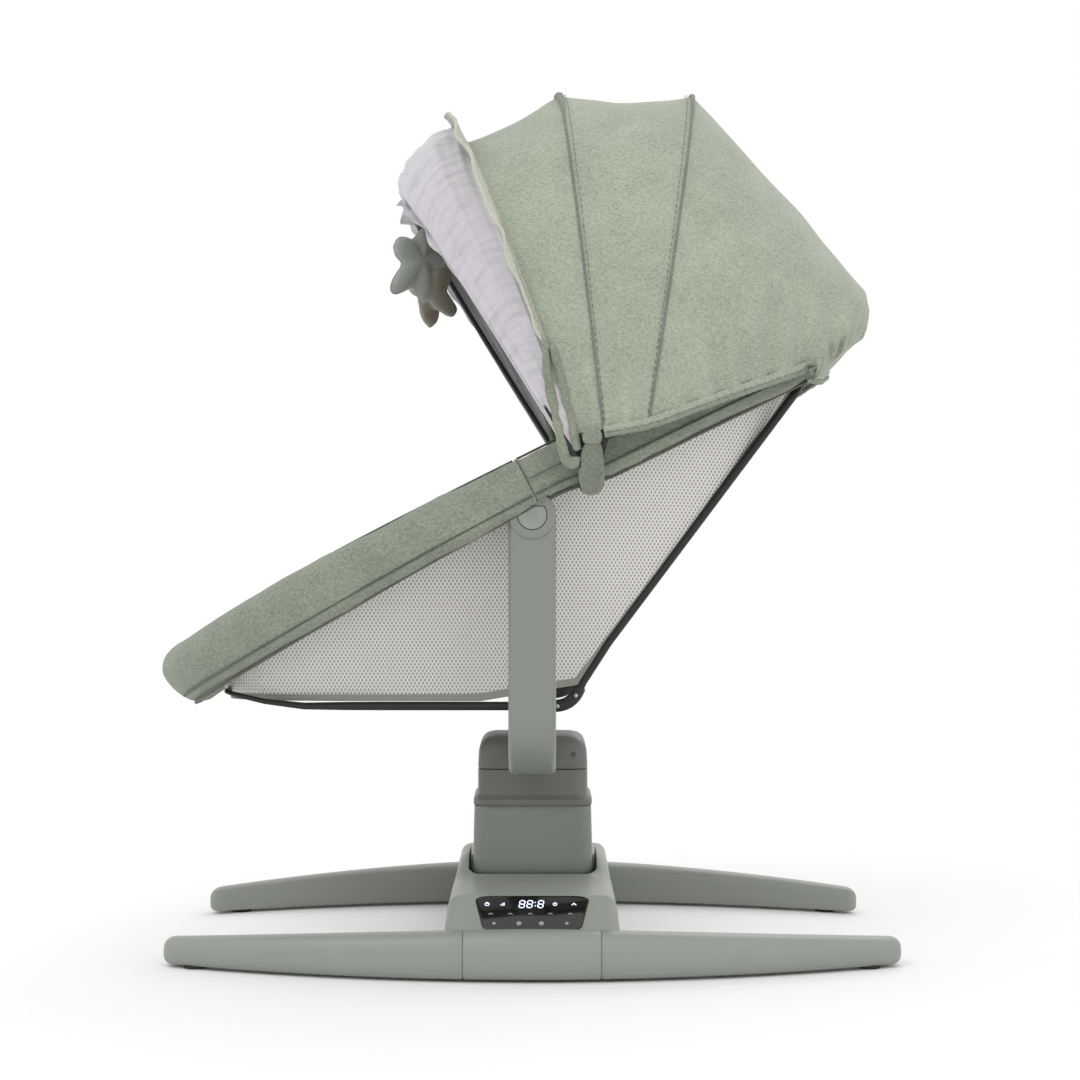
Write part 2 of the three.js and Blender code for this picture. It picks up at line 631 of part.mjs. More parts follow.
// Canopy hinge on the seat: a plate on the rim tube, a stem out through the cover, a boss and a pin.
function canopyHinge(side, grow = 0) {
  const angle = side > 0 ? HINGE_ANGLE : -HINGE_ANGLE;
  const near = rimPoint(angle - SPREAD.hinge);
  const far = rimPoint(angle + SPREAD.hinge);
  const clamp = rod(EAR.clamp + grow, near, far, 12);
  const faces = [STEM.y[0] - grow, STEM.y[1] + grow];
  const half = STEM.plate + grow;
  const wide = [HINGE.x - half, HINGE.x + half];
  const plate = box(wide, sideSpan(side, faces), [HINGE.z - grow, rimPoint(angle).z]);
  const stem = hingeRod(side, STEM.r + grow, [STEM.y[0], STEM.face + grow]);
  const made = clamp.add(plate).add(stem);
  if (grow > 0) return made;
  const boss = hingeRod(side, STEM.boss, [STEM.face, BOW.first - BOW.thick / 2 - RUN]);
  return made.add(boss).add(hingeRod(side, HINGE_PIN_R, [STEM.face, TOY_Y + TOY_R]));
}

function covers() {
  const split = rimAngleAt(COVER_SPLIT_X);
  const gap = COVER_GAP / 2 / RIM_LONG;
  const footHalf = (angle) => {
    const t = THREE.MathUtils.smoothstep(rimPoint(angle).x, -330, COVER_SPLIT_X);
    return COVER.foot + (COVER.head - COVER.foot) * t;
  };
  let foot = coverBand(split + gap, 2 * Math.PI - split - gap, footHalf, 18);
  let head = coverBand(-split + gap, split - gap, () => COVER.head, 14);
  const channel = rimTube(RIM_R + TOUCH, 8);
  for (const side of [-1, 1]) {
    const away = armSweep(side).add(hubBracket(side, TOUCH)).add(canopyHinge(side, TOUCH));
    foot = foot.subtract(away);
    head = head.subtract(away);
  }
  return { foot: foot.subtract(channel), head: head.subtract(channel) };
}

function lowerPath(side) {
  const y = side * LOWER.y;
  const corners = [LOWER.foot, LOWER.bend, LOWER.head].map(([x, z]) => at(x, y, z));
  return filleted(corners, LOWER_BEND, 4);
}

function lowerFrame(radius, sides) {
  const section = circle(radius, sides);
  let made = barAlong(lowerPath(-1), section, Y_AXIS).add(barAlong(lowerPath(1), section, Y_AXIS));
  for (const [x, z] of [LOWER.foot, LOWER.head]) {
    const reach = LOWER.y + radius * 0.6;
    made = made.add(rod(radius, at(x, -reach, z), at(x, reach, z), sides));
  }
  return made;
}

function frameCorner(side) {
  const points = lowerPath(side).slice(1, -1);
  const before = lowerPath(side)[0].sub(points[0]).normalize().multiplyScalar(12).add(points[0]);
  const after = lowerPath(side).at(-1).sub(points.at(-1)).normalize().multiplyScalar(12).add(points.at(-1));
  const path = [before, ...points, after];
  const outer = barAlong(path, circle(CORNER_R, 10), Y_AXIS);
  return outer.subtract(barAlong(lowerPath(side), circle(LOWER.r + TOUCH, 10), Y_AXIS));
}

// The seat bottom's outline, seen from above along the bent lower frame: same angles as the rim.
function floorPoint(angle, inset, up) {
  const c = squared(Math.cos(angle), 5);
  const s = squared(Math.sin(angle), 5);
  const y = (LOWER.y - inset) * s;
  const total = lengthOf(LOWER.foot, LOWER.bend) + lengthOf(LOWER.bend, LOWER.head);
  const travel = (total / 2) * (1 - c * (1 - (2 * inset) / total));
  const backwards = total - travel;
  return lowerPlace(backwards, up).setY(y);
}

const lengthOf = (a, b) => Math.hypot(b[0] - a[0], b[1] - a[1]);

// A place along the lower frame's side view, a distance above it.
function lowerPlace(distance, up) {
  const first = lengthOf(LOWER.foot, LOWER.bend);
  const [from, to] = distance < first ? [LOWER.foot, LOWER.bend] : [LOWER.bend, LOWER.head];
  const along = distance < first ? distance : distance - first;
  const direction = at(to[0] - from[0], 0, to[1] - from[1]).normalize();
  const lift = at(-direction.z, 0, direction.x);
  return at(from[0], 0, from[1]).addScaledVector(direction, along).addScaledVector(lift, up);
}

// A bowl of cloth between the rim and the lower frame: inset from the frame, and its own thickness.
function bowl(inset, thick, lip) {
  const count = 32;
  const angles = steps(count).slice(0, -1).map((t) => 2 * Math.PI * t);
  const row = (offset, blend) => angles.map((angle) => {
    const top = rimPoint(angle, -COVER.inner - 5 - offset);
    const low = floorPoint(angle, offset, FLOOR_LIFT + offset);
    return top.lerp(low, lip + (1 - lip) * blend);
  });
  const bottom = (offset) => {
    const middle = lowerPlace(lengthOf(LOWER.foot, LOWER.bend), FLOOR_LIFT + offset);
    return angles.map(() => middle);
  };
  const outer = [bottom(inset), row(inset, 1), row(inset, 0.5), row(inset, 0)];
  const inside = inset + thick;
  const inner = [row(inside, 0), row(inside, 0.5), row(inside, 1), bottom(inside)];
  return loft(outer.concat(inner), "closed");
}

// A flat strap along points, its width lying along Y.
function strap(points, wide, thick) {
  const section = [[-wide / 2, -thick / 2], [wide / 2, -thick / 2], [wide / 2, thick / 2], [-wide / 2, thick / 2]];
  const curve = new THREE.CatmullRomCurve3(points);
  return barAlong(curve.getPoints(12), section, Y_AXIS);
}

// A place above the seat's back, a distance up from the bend of the lower frame.
const onBack = (distance, up) => lowerPlace(lengthOf(LOWER.foot, LOWER.bend) + distance, up);
const PADDING = FLOOR_LIFT + BUCKET_WALL + LINER_GAP + LINER_THICK; // from the lower frame to the liner's top
const BUCKLE = { x: -22, z: 352, wide: 46, long: 44, thick: 13, tilt: 12 };
const BUTTON_BUCKLE = { r: 8, tall: 5, travel: 2.5 };

function buckle() {
  const body = solid(new RoundedBoxGeometry(BUCKLE.long, BUCKLE.wide, BUCKLE.thick, 2, 5));
  const top = BUCKLE.thick / 2;
  const depth = BUTTON_BUCKLE.tall;
  const pocket = rod(BUTTON_BUCKLE.r + RUN, at(0, 0, top - depth), at(0, 0, top + 4));
  return body.subtract(pocket).rotate([0, BUCKLE.tilt, 0]).translate([BUCKLE.x, 0, BUCKLE.z]);
}

function buckleButton() {
  const top = BUCKLE.thick / 2 + 1;
  const low = BUCKLE.thick / 2 - BUTTON_BUCKLE.tall + BUTTON_BUCKLE.travel + TOUCH;
  const made = rod(BUTTON_BUCKLE.r, at(0, 0, low), at(0, 0, top));
  return made.rotate([0, BUCKLE.tilt, 0]).translate([BUCKLE.x, 0, BUCKLE.z]);
}

const PILLOW = { along: 255, long: 74, wide: 80, thick: 14 }; // half sizes

function headPillow() {
  const geometry = new THREE.SphereGeometry(1, 16, 8);
  geometry.scale(PILLOW.long, PILLOW.wide, PILLOW.thick);
  const slope = Math.atan2(LOWER.head[1] - LOWER.bend[1], LOWER.head[0] - LOWER.bend[0]);
  geometry.rotateY(-slope);
  const middle = onBack(PILLOW.along, PADDING + PILLOW.thick + 3);
  return solid(geometry.translate(middle.x, 0, middle.z));
}

function harness(group) {
  for (const [name, side] of Object.entries(SIDES)) {
    const start = onBack(150, PADDING + 3).setY(side * 46);
    const down = onBack(60, PADDING + 14).setY(side * 36);
    const end = at(BUCKLE.x + BUCKLE.long / 2 + 5, side * 17, BUCKLE.z - 2);
    add(group, `shoulder_strap_${name}`, strap([start, down, end], 24, 2), FINISH.webbing());
  }
  const from = at(-78, 0, LOWER.bend[1] + PADDING + 2.5);
  const bow = at(-62, 0, LOWER.bend[1] + PADDING + 22);
  const to = at(BUCKLE.x - BUCKLE.long / 2 - 3, 0, BUCKLE.z + 3);
  add(group, "crotch_strap", strap([from, bow, to], 30, 2), FINISH.webbing());
  add(group, "harness_buckle", buckle(), FINISH.black());
}

function seat() {
  const frame = new THREE.Group();
  add(frame, "rim_tube", rimTube(RIM_R, 8), FINISH.tube());
  const { foot, head } = covers();
  add(frame, "rim_cover_foot", foot, FINISH.melange());
  add(frame, "rim_cover_head", head, FINISH.melange());
  const tube = rimTube(RIM_R + TOUCH, 8);
  for (const [name, side] of Object.entries(SIDES)) {
    const bore = hubRod(side, PIN_R + TOUCH, [PIN_INNER - 9, EAR.y[1] + 1]);
    const bracket = hubBracket(side).subtract(tube).subtract(bore);
    add(frame, `hub_bracket_${name}`, bracket, FINISH.black());
    add(frame, `canopy_hinge_${name}`, canopyHinge(side).subtract(tube), FINISH.black());
    add(frame, `frame_corner_${name}`, frameCorner(side), FINISH.black());
  }
  add(frame, "lower_frame", lowerFrame(LOWER.r, 10), FINISH.tube());
  add(frame, "seat_bucket", bowl(0, BUCKET_WALL, BUCKET_LIP), FINISH.mesh());
  add(frame, "seat_liner", bowl(BUCKET_WALL + LINER_GAP, LINER_THICK, LINER_LIP), FINISH.liner());
  add(frame, "head_pillow", headPillow(), FINISH.liner());
  harness(frame);
  return frame;
}

// ---------------------------------------------------------------- canopy

// A point of an arch from one side to the other: u 0 to 1, its foot and its tip in side view.
function archPoint(u, foot, tip, wide) {
  const angle = Math.PI * u;
  const rise = squared(Math.sin(angle), ARCH_SQUARE);
  const y = -wide * squared(Math.cos(angle), ARCH_SQUARE);
  return at(foot[0] + (tip[0] - foot[0]) * rise, y, foot[1] + (tip[1] - foot[1]) * rise);
}

const HINGE_XZ = [HINGE.x, HINGE.z];
const bowWidth = (layer) => BOW.first + layer * BOW.pitch;
const TOY_Y = bowWidth(2) + BOW.thick / 2 + RUN + TOY_R;

// A bow of a section, with an eye at each end that turns on the hinge pin.
function bowBar(tip, wide, section, count) {
  const points = steps(count).map((u) => archPoint(u, HINGE_XZ, tip, wide));
  const across = at(tip[0] - HINGE.x, 0, tip[1] - HINGE.z).normalize().cross(Y_AXIS);
  let made = barAlong(points, section, across);
  for (const side of [-1, 1]) {
    const inner = side * (wide - BOW.thick / 2);
    const outer = side * (wide + BOW.thick / 2);
    made = made.add(rod(BOW.eye, at(HINGE.x, inner, HINGE.z), at(HINGE.x, outer, HINGE.z), 16));
  }
  const bore = rod(HINGE_PIN_R + RUN / 2, at(HINGE.x, -300, HINGE.z), at(HINGE.x, 300, HINGE.z), 12);
  return made.subtract(bore);
}

const BOW_SECTION = [[-1, -1], [1, -1], [1, 1], [-1, 1]].map(([a, b]) => [(a * BOW.wide) / 2, (b * BOW.thick) / 2]);
const CLOTH_Y = bowWidth(2) + BOW.thick / 2 + CLOTH_OUT;

// A cloth panel through several arches, each given as { foot, tip, wide }.
function clothPanel(arches, count = 22) {
  const rows = arches.map(({ foot, tip, wide }) => {
    const grown = (u, grow) => {
      const reach = at(tip[0] - HINGE.x, 0, tip[1] - HINGE.z).normalize().multiplyScalar(grow);
      return archPoint(u, foot, [tip[0] + reach.x, tip[1] + reach.z], wide + grow);
    };
    const outer = steps(count).map((u) => grown(u, CLOTH_THICK));
    const inner = steps(count).map((u) => grown(u, 0)).reverse();
    return outer.concat(inner);
  });
  return loft(rows, "pairs");
}

// An arch of cloth over a bow, turned by some degrees about the hinge from a foot in side view.
function over(tip, turn, foot, extra = CLOTH_OUT + BOW.thick / 2) {
  const turned = (x, z, longer) => {
    const spoke = at(x - HINGE.x, 0, z - HINGE.z);
    spoke.setLength(spoke.length() + longer).applyAxisAngle(Y_AXIS, THREE.MathUtils.degToRad(turn));
    return [HINGE.x + spoke.x, HINGE.z + spoke.z];
  };
  return { foot: turned(...foot, 0), tip: turned(...tip, extra), wide: CLOTH_Y };
}

const SEAM = 0.35; // half the gap between neighbouring cloth panels at the top, in degrees
const HEM_GAP = 1.2; // half that gap at the hem
const HEM = { front: [42, 551], middle: [72, 558], rear: [118, 567] }; // the panels' lower corners
const fromHead = (x, z) => [RIM_CENTRE.x + RIM_ALONG.x * RIM_LONG + x, RIM_CENTRE.z + RIM_ALONG.z * RIM_LONG + z];
const HOOD = { foot: fromHead(-14, -25), tip: fromHead(74, 66), wide: 208 }; // the hood's rear corner
const TUCK = { foot: fromHead(-16, -41), tip: fromHead(49, 25), wide: 198 }; // its gathered lower edge

function between(a, b, t, bulge) {
  const mix = (p, q) => [p[0] + (q[0] - p[0]) * t, p[1] + (q[1] - p[1]) * t];
  const wide = a.wide + (b.wide - a.wide) * t + bulge * 4 * t * (1 - t);
  return { foot: mix(a.foot, b.foot), tip: mix(a.tip, b.tip), wide };
}

function canopy(group) {
  const { front, middle, rear } = BOW_TIPS;
  add(group, "bow_middle", bowBar(middle, bowWidth(0), BOW_SECTION, 24), FINISH.black());
  add(group, "bow_front", bowBar(front, bowWidth(1), BOW_SECTION, 24), FINISH.black());
  add(group, "bow_rear", bowBar(rear, bowWidth(2), BOW_SECTION, 24), FINISH.black());
  const [toFoot, toHead] = [-HEM_GAP, HEM_GAP];
  const beside = ([x, z], shift) => [x + shift, z];
  const frontArches = [over(front, -1.2, HEM.front), over(middle, -SEAM, beside(HEM.middle, toFoot))];
  const middleArches = [over(middle, SEAM, beside(HEM.middle, toHead)), over(rear, -SEAM, beside(HEM.rear, toFoot))];
  const rearEdge = over(rear, SEAM, beside(HEM.rear, toHead));
  const rearArches = steps(4).map((t) => between(rearEdge, HOOD, t, 14)).concat([TUCK]);
  add(group, "canopy_cloth_front", clothPanel(frontArches), FINISH.melange());
  add(group, "canopy_cloth_middle", clothPanel(middleArches), FINISH.melange());
  add(group, "canopy_cloth_rear", clothPanel(rearArches), FINISH.melange());
}

// ---------------------------------------------------------------- toy arch, net and toys

function star(side) {
  const bar = toyBarPoint(side);
  const shape = new THREE.Shape();
  for (let i = 0; i < 10; i += 1) {
    const angle = Math.PI / 2 + (i * Math.PI) / 5;
    const radius = i % 2 ? STAR.r * 0.62 : STAR.r;
    const [x, y] = [radius * Math.cos(angle), radius * Math.sin(angle)];
    if (i) shape.lineTo(x, y);
    else shape.moveTo(x, y);
  }
  const bevel = { bevelThickness: 6, bevelSize: 5, bevelOffset: -5, bevelSegments: 2 };
  const depth = STAR.thick - 12;
  const geometry = new THREE.ExtrudeGeometry(shape.closePath(), { depth, ...bevel });
  geometry.translate(0, 0, -depth / 2).rotateX(Math.PI / 2);
  const body = solid(geometry.translate(bar.x, bar.y, bar.z - STAR.drop));
  const half = STAR.ribbon / 2;
  const loop = ring(STAR.loop, STAR.loop + 2, [-half, half], 14).rotateX(Math.PI / 2).translate(bar.x, bar.y, bar.z);
  const ribbon = [bar.z - STAR.drop + STAR.r - 6, bar.z - STAR.loop - 1];
  return body.add(box([bar.x - 1, bar.x + 1], [bar.y - half, bar.y + half], ribbon)).add(solid(loop));
}

// Where a toy's loop hangs on the arch.
function toyBarPoint(side) {
  const wide = TOY_Y;
  const rise = Math.pow(1 - Math.pow(STAR.y / wide, ARCH_SQUARE), 1 / ARCH_SQUARE);
  const x = HINGE.x + (TOY_TIP[0] - HINGE.x) * rise;
  return at(x, side * STAR.y, HINGE.z + (TOY_TIP[1] - HINGE.z) * rise);
}

function toyArch(group) {
  add(group, "toy_bar", bowBar(TOY_TIP, TOY_Y, circle(TOY_R, 8), 28), FINISH.tube());
  const upper = over(BOW_TIPS.front, -2.4, NET_FEET.upper);
  const lower = over(TOY_TIP, 3, NET_FEET.lower, TOY_R + 2);
  const arches = [upper, between(upper, lower, 0.5, 4), lower];
  add(group, "net", clothPanel(arches), FINISH.net());
  add(group, "star_left", star(-1), FINISH.plushSage());
  add(group, "star_right", star(1), FINISH.plushTaupe());
}

swing.add(floorStand());
swing.add(tower());
swing.add(reclineButtons());
const seatGroup = seat();
add(seatGroup, "buckle_button", buckleButton(), FINISH.plushTaupe());
swing.add(seatGroup);
const canopyGroup = new THREE.Group();
canopy(canopyGroup);
toyArch(canopyGroup);
swing.add(canopyGroup);

export default swing;
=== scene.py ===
"""Looks of the electric baby swing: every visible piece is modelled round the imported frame."""

import json
import logging
import math
from dataclasses import dataclass, field
from enum import Enum
from typing import Callable, Sequence, TypeVar

import bpy
from mathutils import Matrix, Vector, noise

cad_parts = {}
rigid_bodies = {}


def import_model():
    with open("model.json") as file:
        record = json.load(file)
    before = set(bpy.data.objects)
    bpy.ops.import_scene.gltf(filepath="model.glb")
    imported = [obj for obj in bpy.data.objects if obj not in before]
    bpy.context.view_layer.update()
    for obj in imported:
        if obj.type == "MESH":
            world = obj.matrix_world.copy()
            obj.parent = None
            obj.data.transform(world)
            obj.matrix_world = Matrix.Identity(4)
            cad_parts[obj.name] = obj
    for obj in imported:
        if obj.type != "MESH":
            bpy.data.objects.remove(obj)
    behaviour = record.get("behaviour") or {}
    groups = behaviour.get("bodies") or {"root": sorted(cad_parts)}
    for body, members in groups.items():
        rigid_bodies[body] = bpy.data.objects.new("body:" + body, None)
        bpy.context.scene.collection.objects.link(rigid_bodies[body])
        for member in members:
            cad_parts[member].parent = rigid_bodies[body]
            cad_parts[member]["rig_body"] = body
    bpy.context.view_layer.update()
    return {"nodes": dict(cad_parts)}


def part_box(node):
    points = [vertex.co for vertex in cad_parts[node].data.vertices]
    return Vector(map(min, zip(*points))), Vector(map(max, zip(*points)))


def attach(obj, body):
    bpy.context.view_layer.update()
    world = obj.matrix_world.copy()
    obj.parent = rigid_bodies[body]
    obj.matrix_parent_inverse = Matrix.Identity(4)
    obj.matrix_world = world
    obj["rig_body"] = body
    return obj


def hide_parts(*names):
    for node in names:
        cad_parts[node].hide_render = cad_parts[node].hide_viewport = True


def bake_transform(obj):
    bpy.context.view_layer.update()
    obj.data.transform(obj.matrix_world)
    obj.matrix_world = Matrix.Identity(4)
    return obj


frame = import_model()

LOG = logging.getLogger("baby_swing")
X_AXIS, Y_AXIS, Z_AXIS = Vector((1, 0, 0)), Vector((0, 1, 0)), Vector((0, 0, 1))
SIDES = {"left": -1, "right": 1}
ENDS = {"foot": -1, "head": 1}
Piece = bpy.types.Object
Ring = list[Vector]
Flat = tuple[float, float]
Outline = Sequence[Flat]
Colour = tuple[float, float, float, float]
Place = TypeVar("Place", float, Vector)


# ---------------------------------------------------------------- shop: how meshes are made


class Shop:
    """Mesh making with Blender's own operators."""

    @staticmethod
    def deselect() -> None:
        """Leaves object mode with nothing selected."""
        if bpy.context.object and bpy.context.object.mode != "OBJECT":
            bpy.ops.object.mode_set(mode="OBJECT")
        bpy.ops.object.select_all(action="DESELECT")

    @staticmethod
    def pick(piece: Piece) -> None:
        """Selects one piece alone and makes it the active one.

        Args:
            piece: the piece.
        """
        Shop.deselect()
        piece.select_set(True)
        bpy.context.view_layer.objects.active = piece

    @staticmethod
    def edit(piece: Piece, work: Callable[[], None]) -> None:
        """Runs operators on a whole piece in edit mode.

        Args:
            piece: the mesh object.
            work: what is called with everything selected.
        """
        Shop.pick(piece)
        bpy.ops.object.mode_set(mode="EDIT")
        bpy.ops.mesh.select_all(action="SELECT")
        work()
        bpy.ops.object.mode_set(mode="OBJECT")

    @staticmethod
    def named(name: str) -> Piece:
        """Names the primitive that was just added, and its mesh.

        Args:
            name: the new name.

        Returns:
            The primitive.
        """
        piece = bpy.context.object
        piece.name = name
        piece.data.name = name
        return piece

    @staticmethod
    def skin(name: str, rows: Sequence[Ring], around: bool = False, along: bool = False,
             cap: bool = True) -> Piece:
        """A grid whose rows are laid on rings of points, closed where asked.

        Args:
            name: the piece's name.
            rows: rings with the same number of points each.
            around: joins each ring's last point to its first.
            along: joins the last ring to the first.
            cap: closes the two open ends of a tube.

        Returns:
            The mesh object, with a UV map in metres.
        """
        laid = [list(r) + [r[0]] if around else list(r) for r in rows]
        if along:
            laid.append(list(laid[0]))
        nx, ny = len(laid[0]) - 1, len(laid) - 1
        Shop.deselect()
        bpy.ops.mesh.primitive_grid_add(x_subdivisions=nx, y_subdivisions=ny, size=2, calc_uvs=True)
        piece = Shop.named(name)
        places = {}
        for vertex in piece.data.vertices:
            i = round((vertex.co.x + 1) / 2 * nx)
            j = round((vertex.co.y + 1) / 2 * ny)
            places[vertex.index] = (i, j)
            vertex.co = laid[j][i]
        across = Shop.lengths(laid[ny // 2])
        lengthwise = Shop.lengths([row[nx // 2] for row in laid])
        uv = piece.data.uv_layers.active.data
        for loop in piece.data.loops:
            i, j = places[loop.vertex_index]
            uv[loop.index].uv = (across[i], lengthwise[j])

        def close() -> None:
            """Merges what meets, caps what is open and turns the faces out."""
            bpy.ops.mesh.remove_doubles(threshold=1e-6)
            if cap and not along:
                bpy.ops.mesh.fill_holes(sides=0)
            bpy.ops.mesh.normals_make_consistent(inside=False)

        if around or along:
            Shop.edit(piece, close)
        return piece

    @staticmethod
    def lengths(points: Sequence[Vector]) -> list[float]:
        """How far along a line of points each one is.

        Args:
            points: the line.

        Returns:
            One length for each point, from 0.
        """
        total = [0.0]
        for before, after in zip(points, points[1:]):
            total.append(total[-1] + (after - before).length)
        return total

    @staticmethod
    def apply(piece: Piece, kind: str, **settings: object) -> None:
        """Adds a modifier to a piece and applies it.

        Args:
            piece: the mesh object.
            kind: the modifier's type.
            settings: its properties.
        """
        Shop.pick(piece)
        modifier = piece.modifiers.new(kind.lower(), kind)
        for key, value in settings.items():
            setattr(modifier, key, value)
        bpy.ops.object.modifier_apply(modifier=modifier.name)

    @staticmethod
    def thicken(piece: Piece, thick: float, offset: float = 0.0) -> None:
        """Gives an open sheet its thickness."""
        Shop.apply(piece, "SOLIDIFY", thickness=thick, offset=offset, use_rim=True)

    @staticmethod
    def bevel(piece: Piece, width: float, segments: int = 2, angle: float = 40) -> None:
        """Rounds a piece's sharp edges."""
        Shop.apply(piece, "BEVEL", width=width, segments=segments, limit_method="ANGLE",
                   angle_limit=math.radians(angle))

    @staticmethod
    def smooth(piece: Piece, angle: float = 40) -> Piece:
        """Shades a piece smooth, save its sharp edges.

        Args:
            piece: the piece.
            angle: the bend, in degrees, past which an edge stays sharp.

        Returns:
            The same piece.
        """
        Shop.pick(piece)
        bpy.ops.object.shade_smooth_by_angle(angle=math.radians(angle))
        return piece

    @staticmethod
    def cut(piece: Piece, tool: Piece) -> None:
        """Cuts a closed tool out of a piece and throws the tool away."""
        Shop.apply(piece, "BOOLEAN", operation="DIFFERENCE", object=tool, solver="EXACT")
        bpy.data.objects.remove(tool)

    @staticmethod
    def join(name: str, parts: Sequence[Piece]) -> Piece:
        """Joins small shapes into one piece.

        Args:
            name: the joined piece's name.
            parts: the shapes, which it takes up.

        Returns:
            The joined piece.
        """
        Shop.deselect()
        for part in parts:
            part.select_set(True)
        bpy.context.view_layer.objects.active = parts[0]
        bpy.ops.object.join()
        return Shop.named(name)

    @staticmethod
    def bar(name: str, points: Sequence[Vector], section: Outline, across: Vector,
            cap: bool = True) -> Piece:
        """A bar of any section along a line of points.

        Args:
            name: the piece's name.
            points: the line.
            section: [across, up] offsets round the section.
            across: the direction that the first offset is measured in.
            cap: closes the ends.

        Returns:
            The mesh object.
        """
        rows = []
        for i, point in enumerate(points):
            direction = heading(points, i)
            side = (across - direction * across.dot(direction)).normalized()
            up = direction.cross(side)
            rows.append([point + side * a + up * b for a, b in section])
        return Shop.skin(name, rows, around=True, cap=cap)

    @staticmethod
    def disc(name: str, radius: float, start: Vector, end: Vector, bevel: float = 0.0008,
             sides: int = 48) -> Piece:
        """A short round bar between two points with softened edges.

        Args:
            name: the piece's name.
            radius: its radius.
            start: the middle of one face.
            end: the middle of the other.
            bevel: width of its softened edges.
            sides: how many sides it has.

        Returns:
            The mesh object.
        """
        Shop.deselect()
        direction = end - start
        bpy.ops.mesh.primitive_cylinder_add(vertices=sides, radius=radius, depth=direction.length)
        piece = Shop.named(name)
        turn = Z_AXIS.rotation_difference(direction.normalized()).to_matrix().to_4x4()
        piece.data.transform(Matrix.Translation((start + end) / 2) @ turn)
        if bevel:
            Shop.bevel(piece, bevel)
        return Shop.smooth(piece, 35)

    @staticmethod
    def slab(name: str, outline: Outline, place: Matrix, depth: float,
             bevel: float = 0.0) -> Piece:
        """A flat outline filled and pulled out to a depth.

        Args:
            name: the piece's name.
            outline: points in the plane, going once round.
            place: puts the plane in the row frame, its Z the way the slab is pulled.
            depth: how far.
            bevel: width of the softened edges.

        Returns:
            The mesh object.
        """
        rows = [[place @ Vector((x, y, z)) for x, y in outline] for z in (0, depth)]
        piece = Shop.skin(name, rows, around=True)
        if bevel:
            Shop.bevel(piece, bevel, angle=50)
        return Shop.smooth(piece, 35)


def heading(line: Sequence[Vector], i: int, closed: bool = False) -> Vector:
    """The direction that a line of points runs in at one of them.

    Args:
        line: the points.
        i: which of them.
        closed: whether the last point leads back to the first.

    Returns:
        The direction, of length 1.
    """
    if closed:
        return (line[(i + 1) % len(line)] - line[i - 1]).normalized()
    return (line[min(len(line) - 1, i + 1)] - line[max(0, i - 1)]).normalized()


def circle(radius: float, sides: int = 24) -> list[Flat]:
    """A round section."""
    return [(radius * math.cos(math.tau * i / sides), radius * math.sin(math.tau * i / sides))
            for i in range(sides)]


def soften(points: Outline, share: float = 0.3,
           steps: int = 4) -> list[Flat]:
    """A closed outline with its corners rounded.

    Args:
        points: the corners.
        share: how much of each edge a round takes.
        steps: points in each round.

    Returns:
        The rounded outline.
    """
    made = []
    for i, corner in enumerate(points):
        before, after = Vector(points[i - 1]), Vector(points[(i + 1) % len(points)])
        here = Vector(corner)
        start, end = here.lerp(before, share), here.lerp(after, share)
        for k in range(steps + 1):
            t = k / steps
            p = start * (1 - t) ** 2 + here * 2 * t * (1 - t) + end * t * t
            made.append((p.x, p.y))
    return made


def rounded_box(a: float, b: float, r: float, steps: int = 6) -> list[Flat]:
    """A rounded rectangle's outline: half sizes and corner radius.

    Args:
        a: half its width.
        b: half its depth.
        r: radius of its corners.
        steps: points in each corner.

    Returns:
        The outline.
    """
    made = []
    for sx, sy, quarter in ((1, 1, 0), (-1, 1, 1), (-1, -1, 2), (1, -1, 3)):
        for k in range(steps + 1):
            angle = (quarter + k / steps) * math.pi / 2
            made.append((sx * (a - r) + r * math.cos(angle), sy * (b - r) + r * math.sin(angle)))
    return made


def spread(count: int, low: float = 0.0, high: float = 1.0) -> list[float]:
    """Evenly spaced values from low to high."""
    return [low + (high - low) * i / count for i in range(count + 1)]


def squared(value: float, power: float) -> float:
    """Superellipse form of a sine or cosine."""
    return math.copysign(abs(value) ** (2 / power), value)


def ease(value: float, low: float, high: float) -> float:
    """Smooth step from 0 at low to 1 at high."""
    t = min(1.0, max(0.0, (value - low) / (high - low)))
    return t * t * (3 - 2 * t)


def filleted(corners: Sequence[Vector], radius: float, steps: int = 10) -> list[Vector]:
    """A line of points with its inner corners rounded to a radius.

    Args:
        corners: the line, with sharp corners.
        radius: what its inner corners are rounded to.
        steps: points in each round.

    Returns:
        The rounded line.
    """
    points = [corners[0].copy()]
    for before, corner, after in zip(corners, corners[1:], corners[2:]):
        back, on = (before - corner).normalized(), (after - corner).normalized()
        half = back.angle(on) / 2
        reach = radius / math.tan(half)
        centre = corner + (back + on).normalized() * (radius / math.sin(half))
        start, end = corner + back * reach, corner + on * reach
        for t in spread(steps):
            points.append(centre + (start.lerp(end, t) - centre).normalized() * radius)
    points.append(corners[-1].copy())
    return points


# ---------------------------------------------------------------- finishes


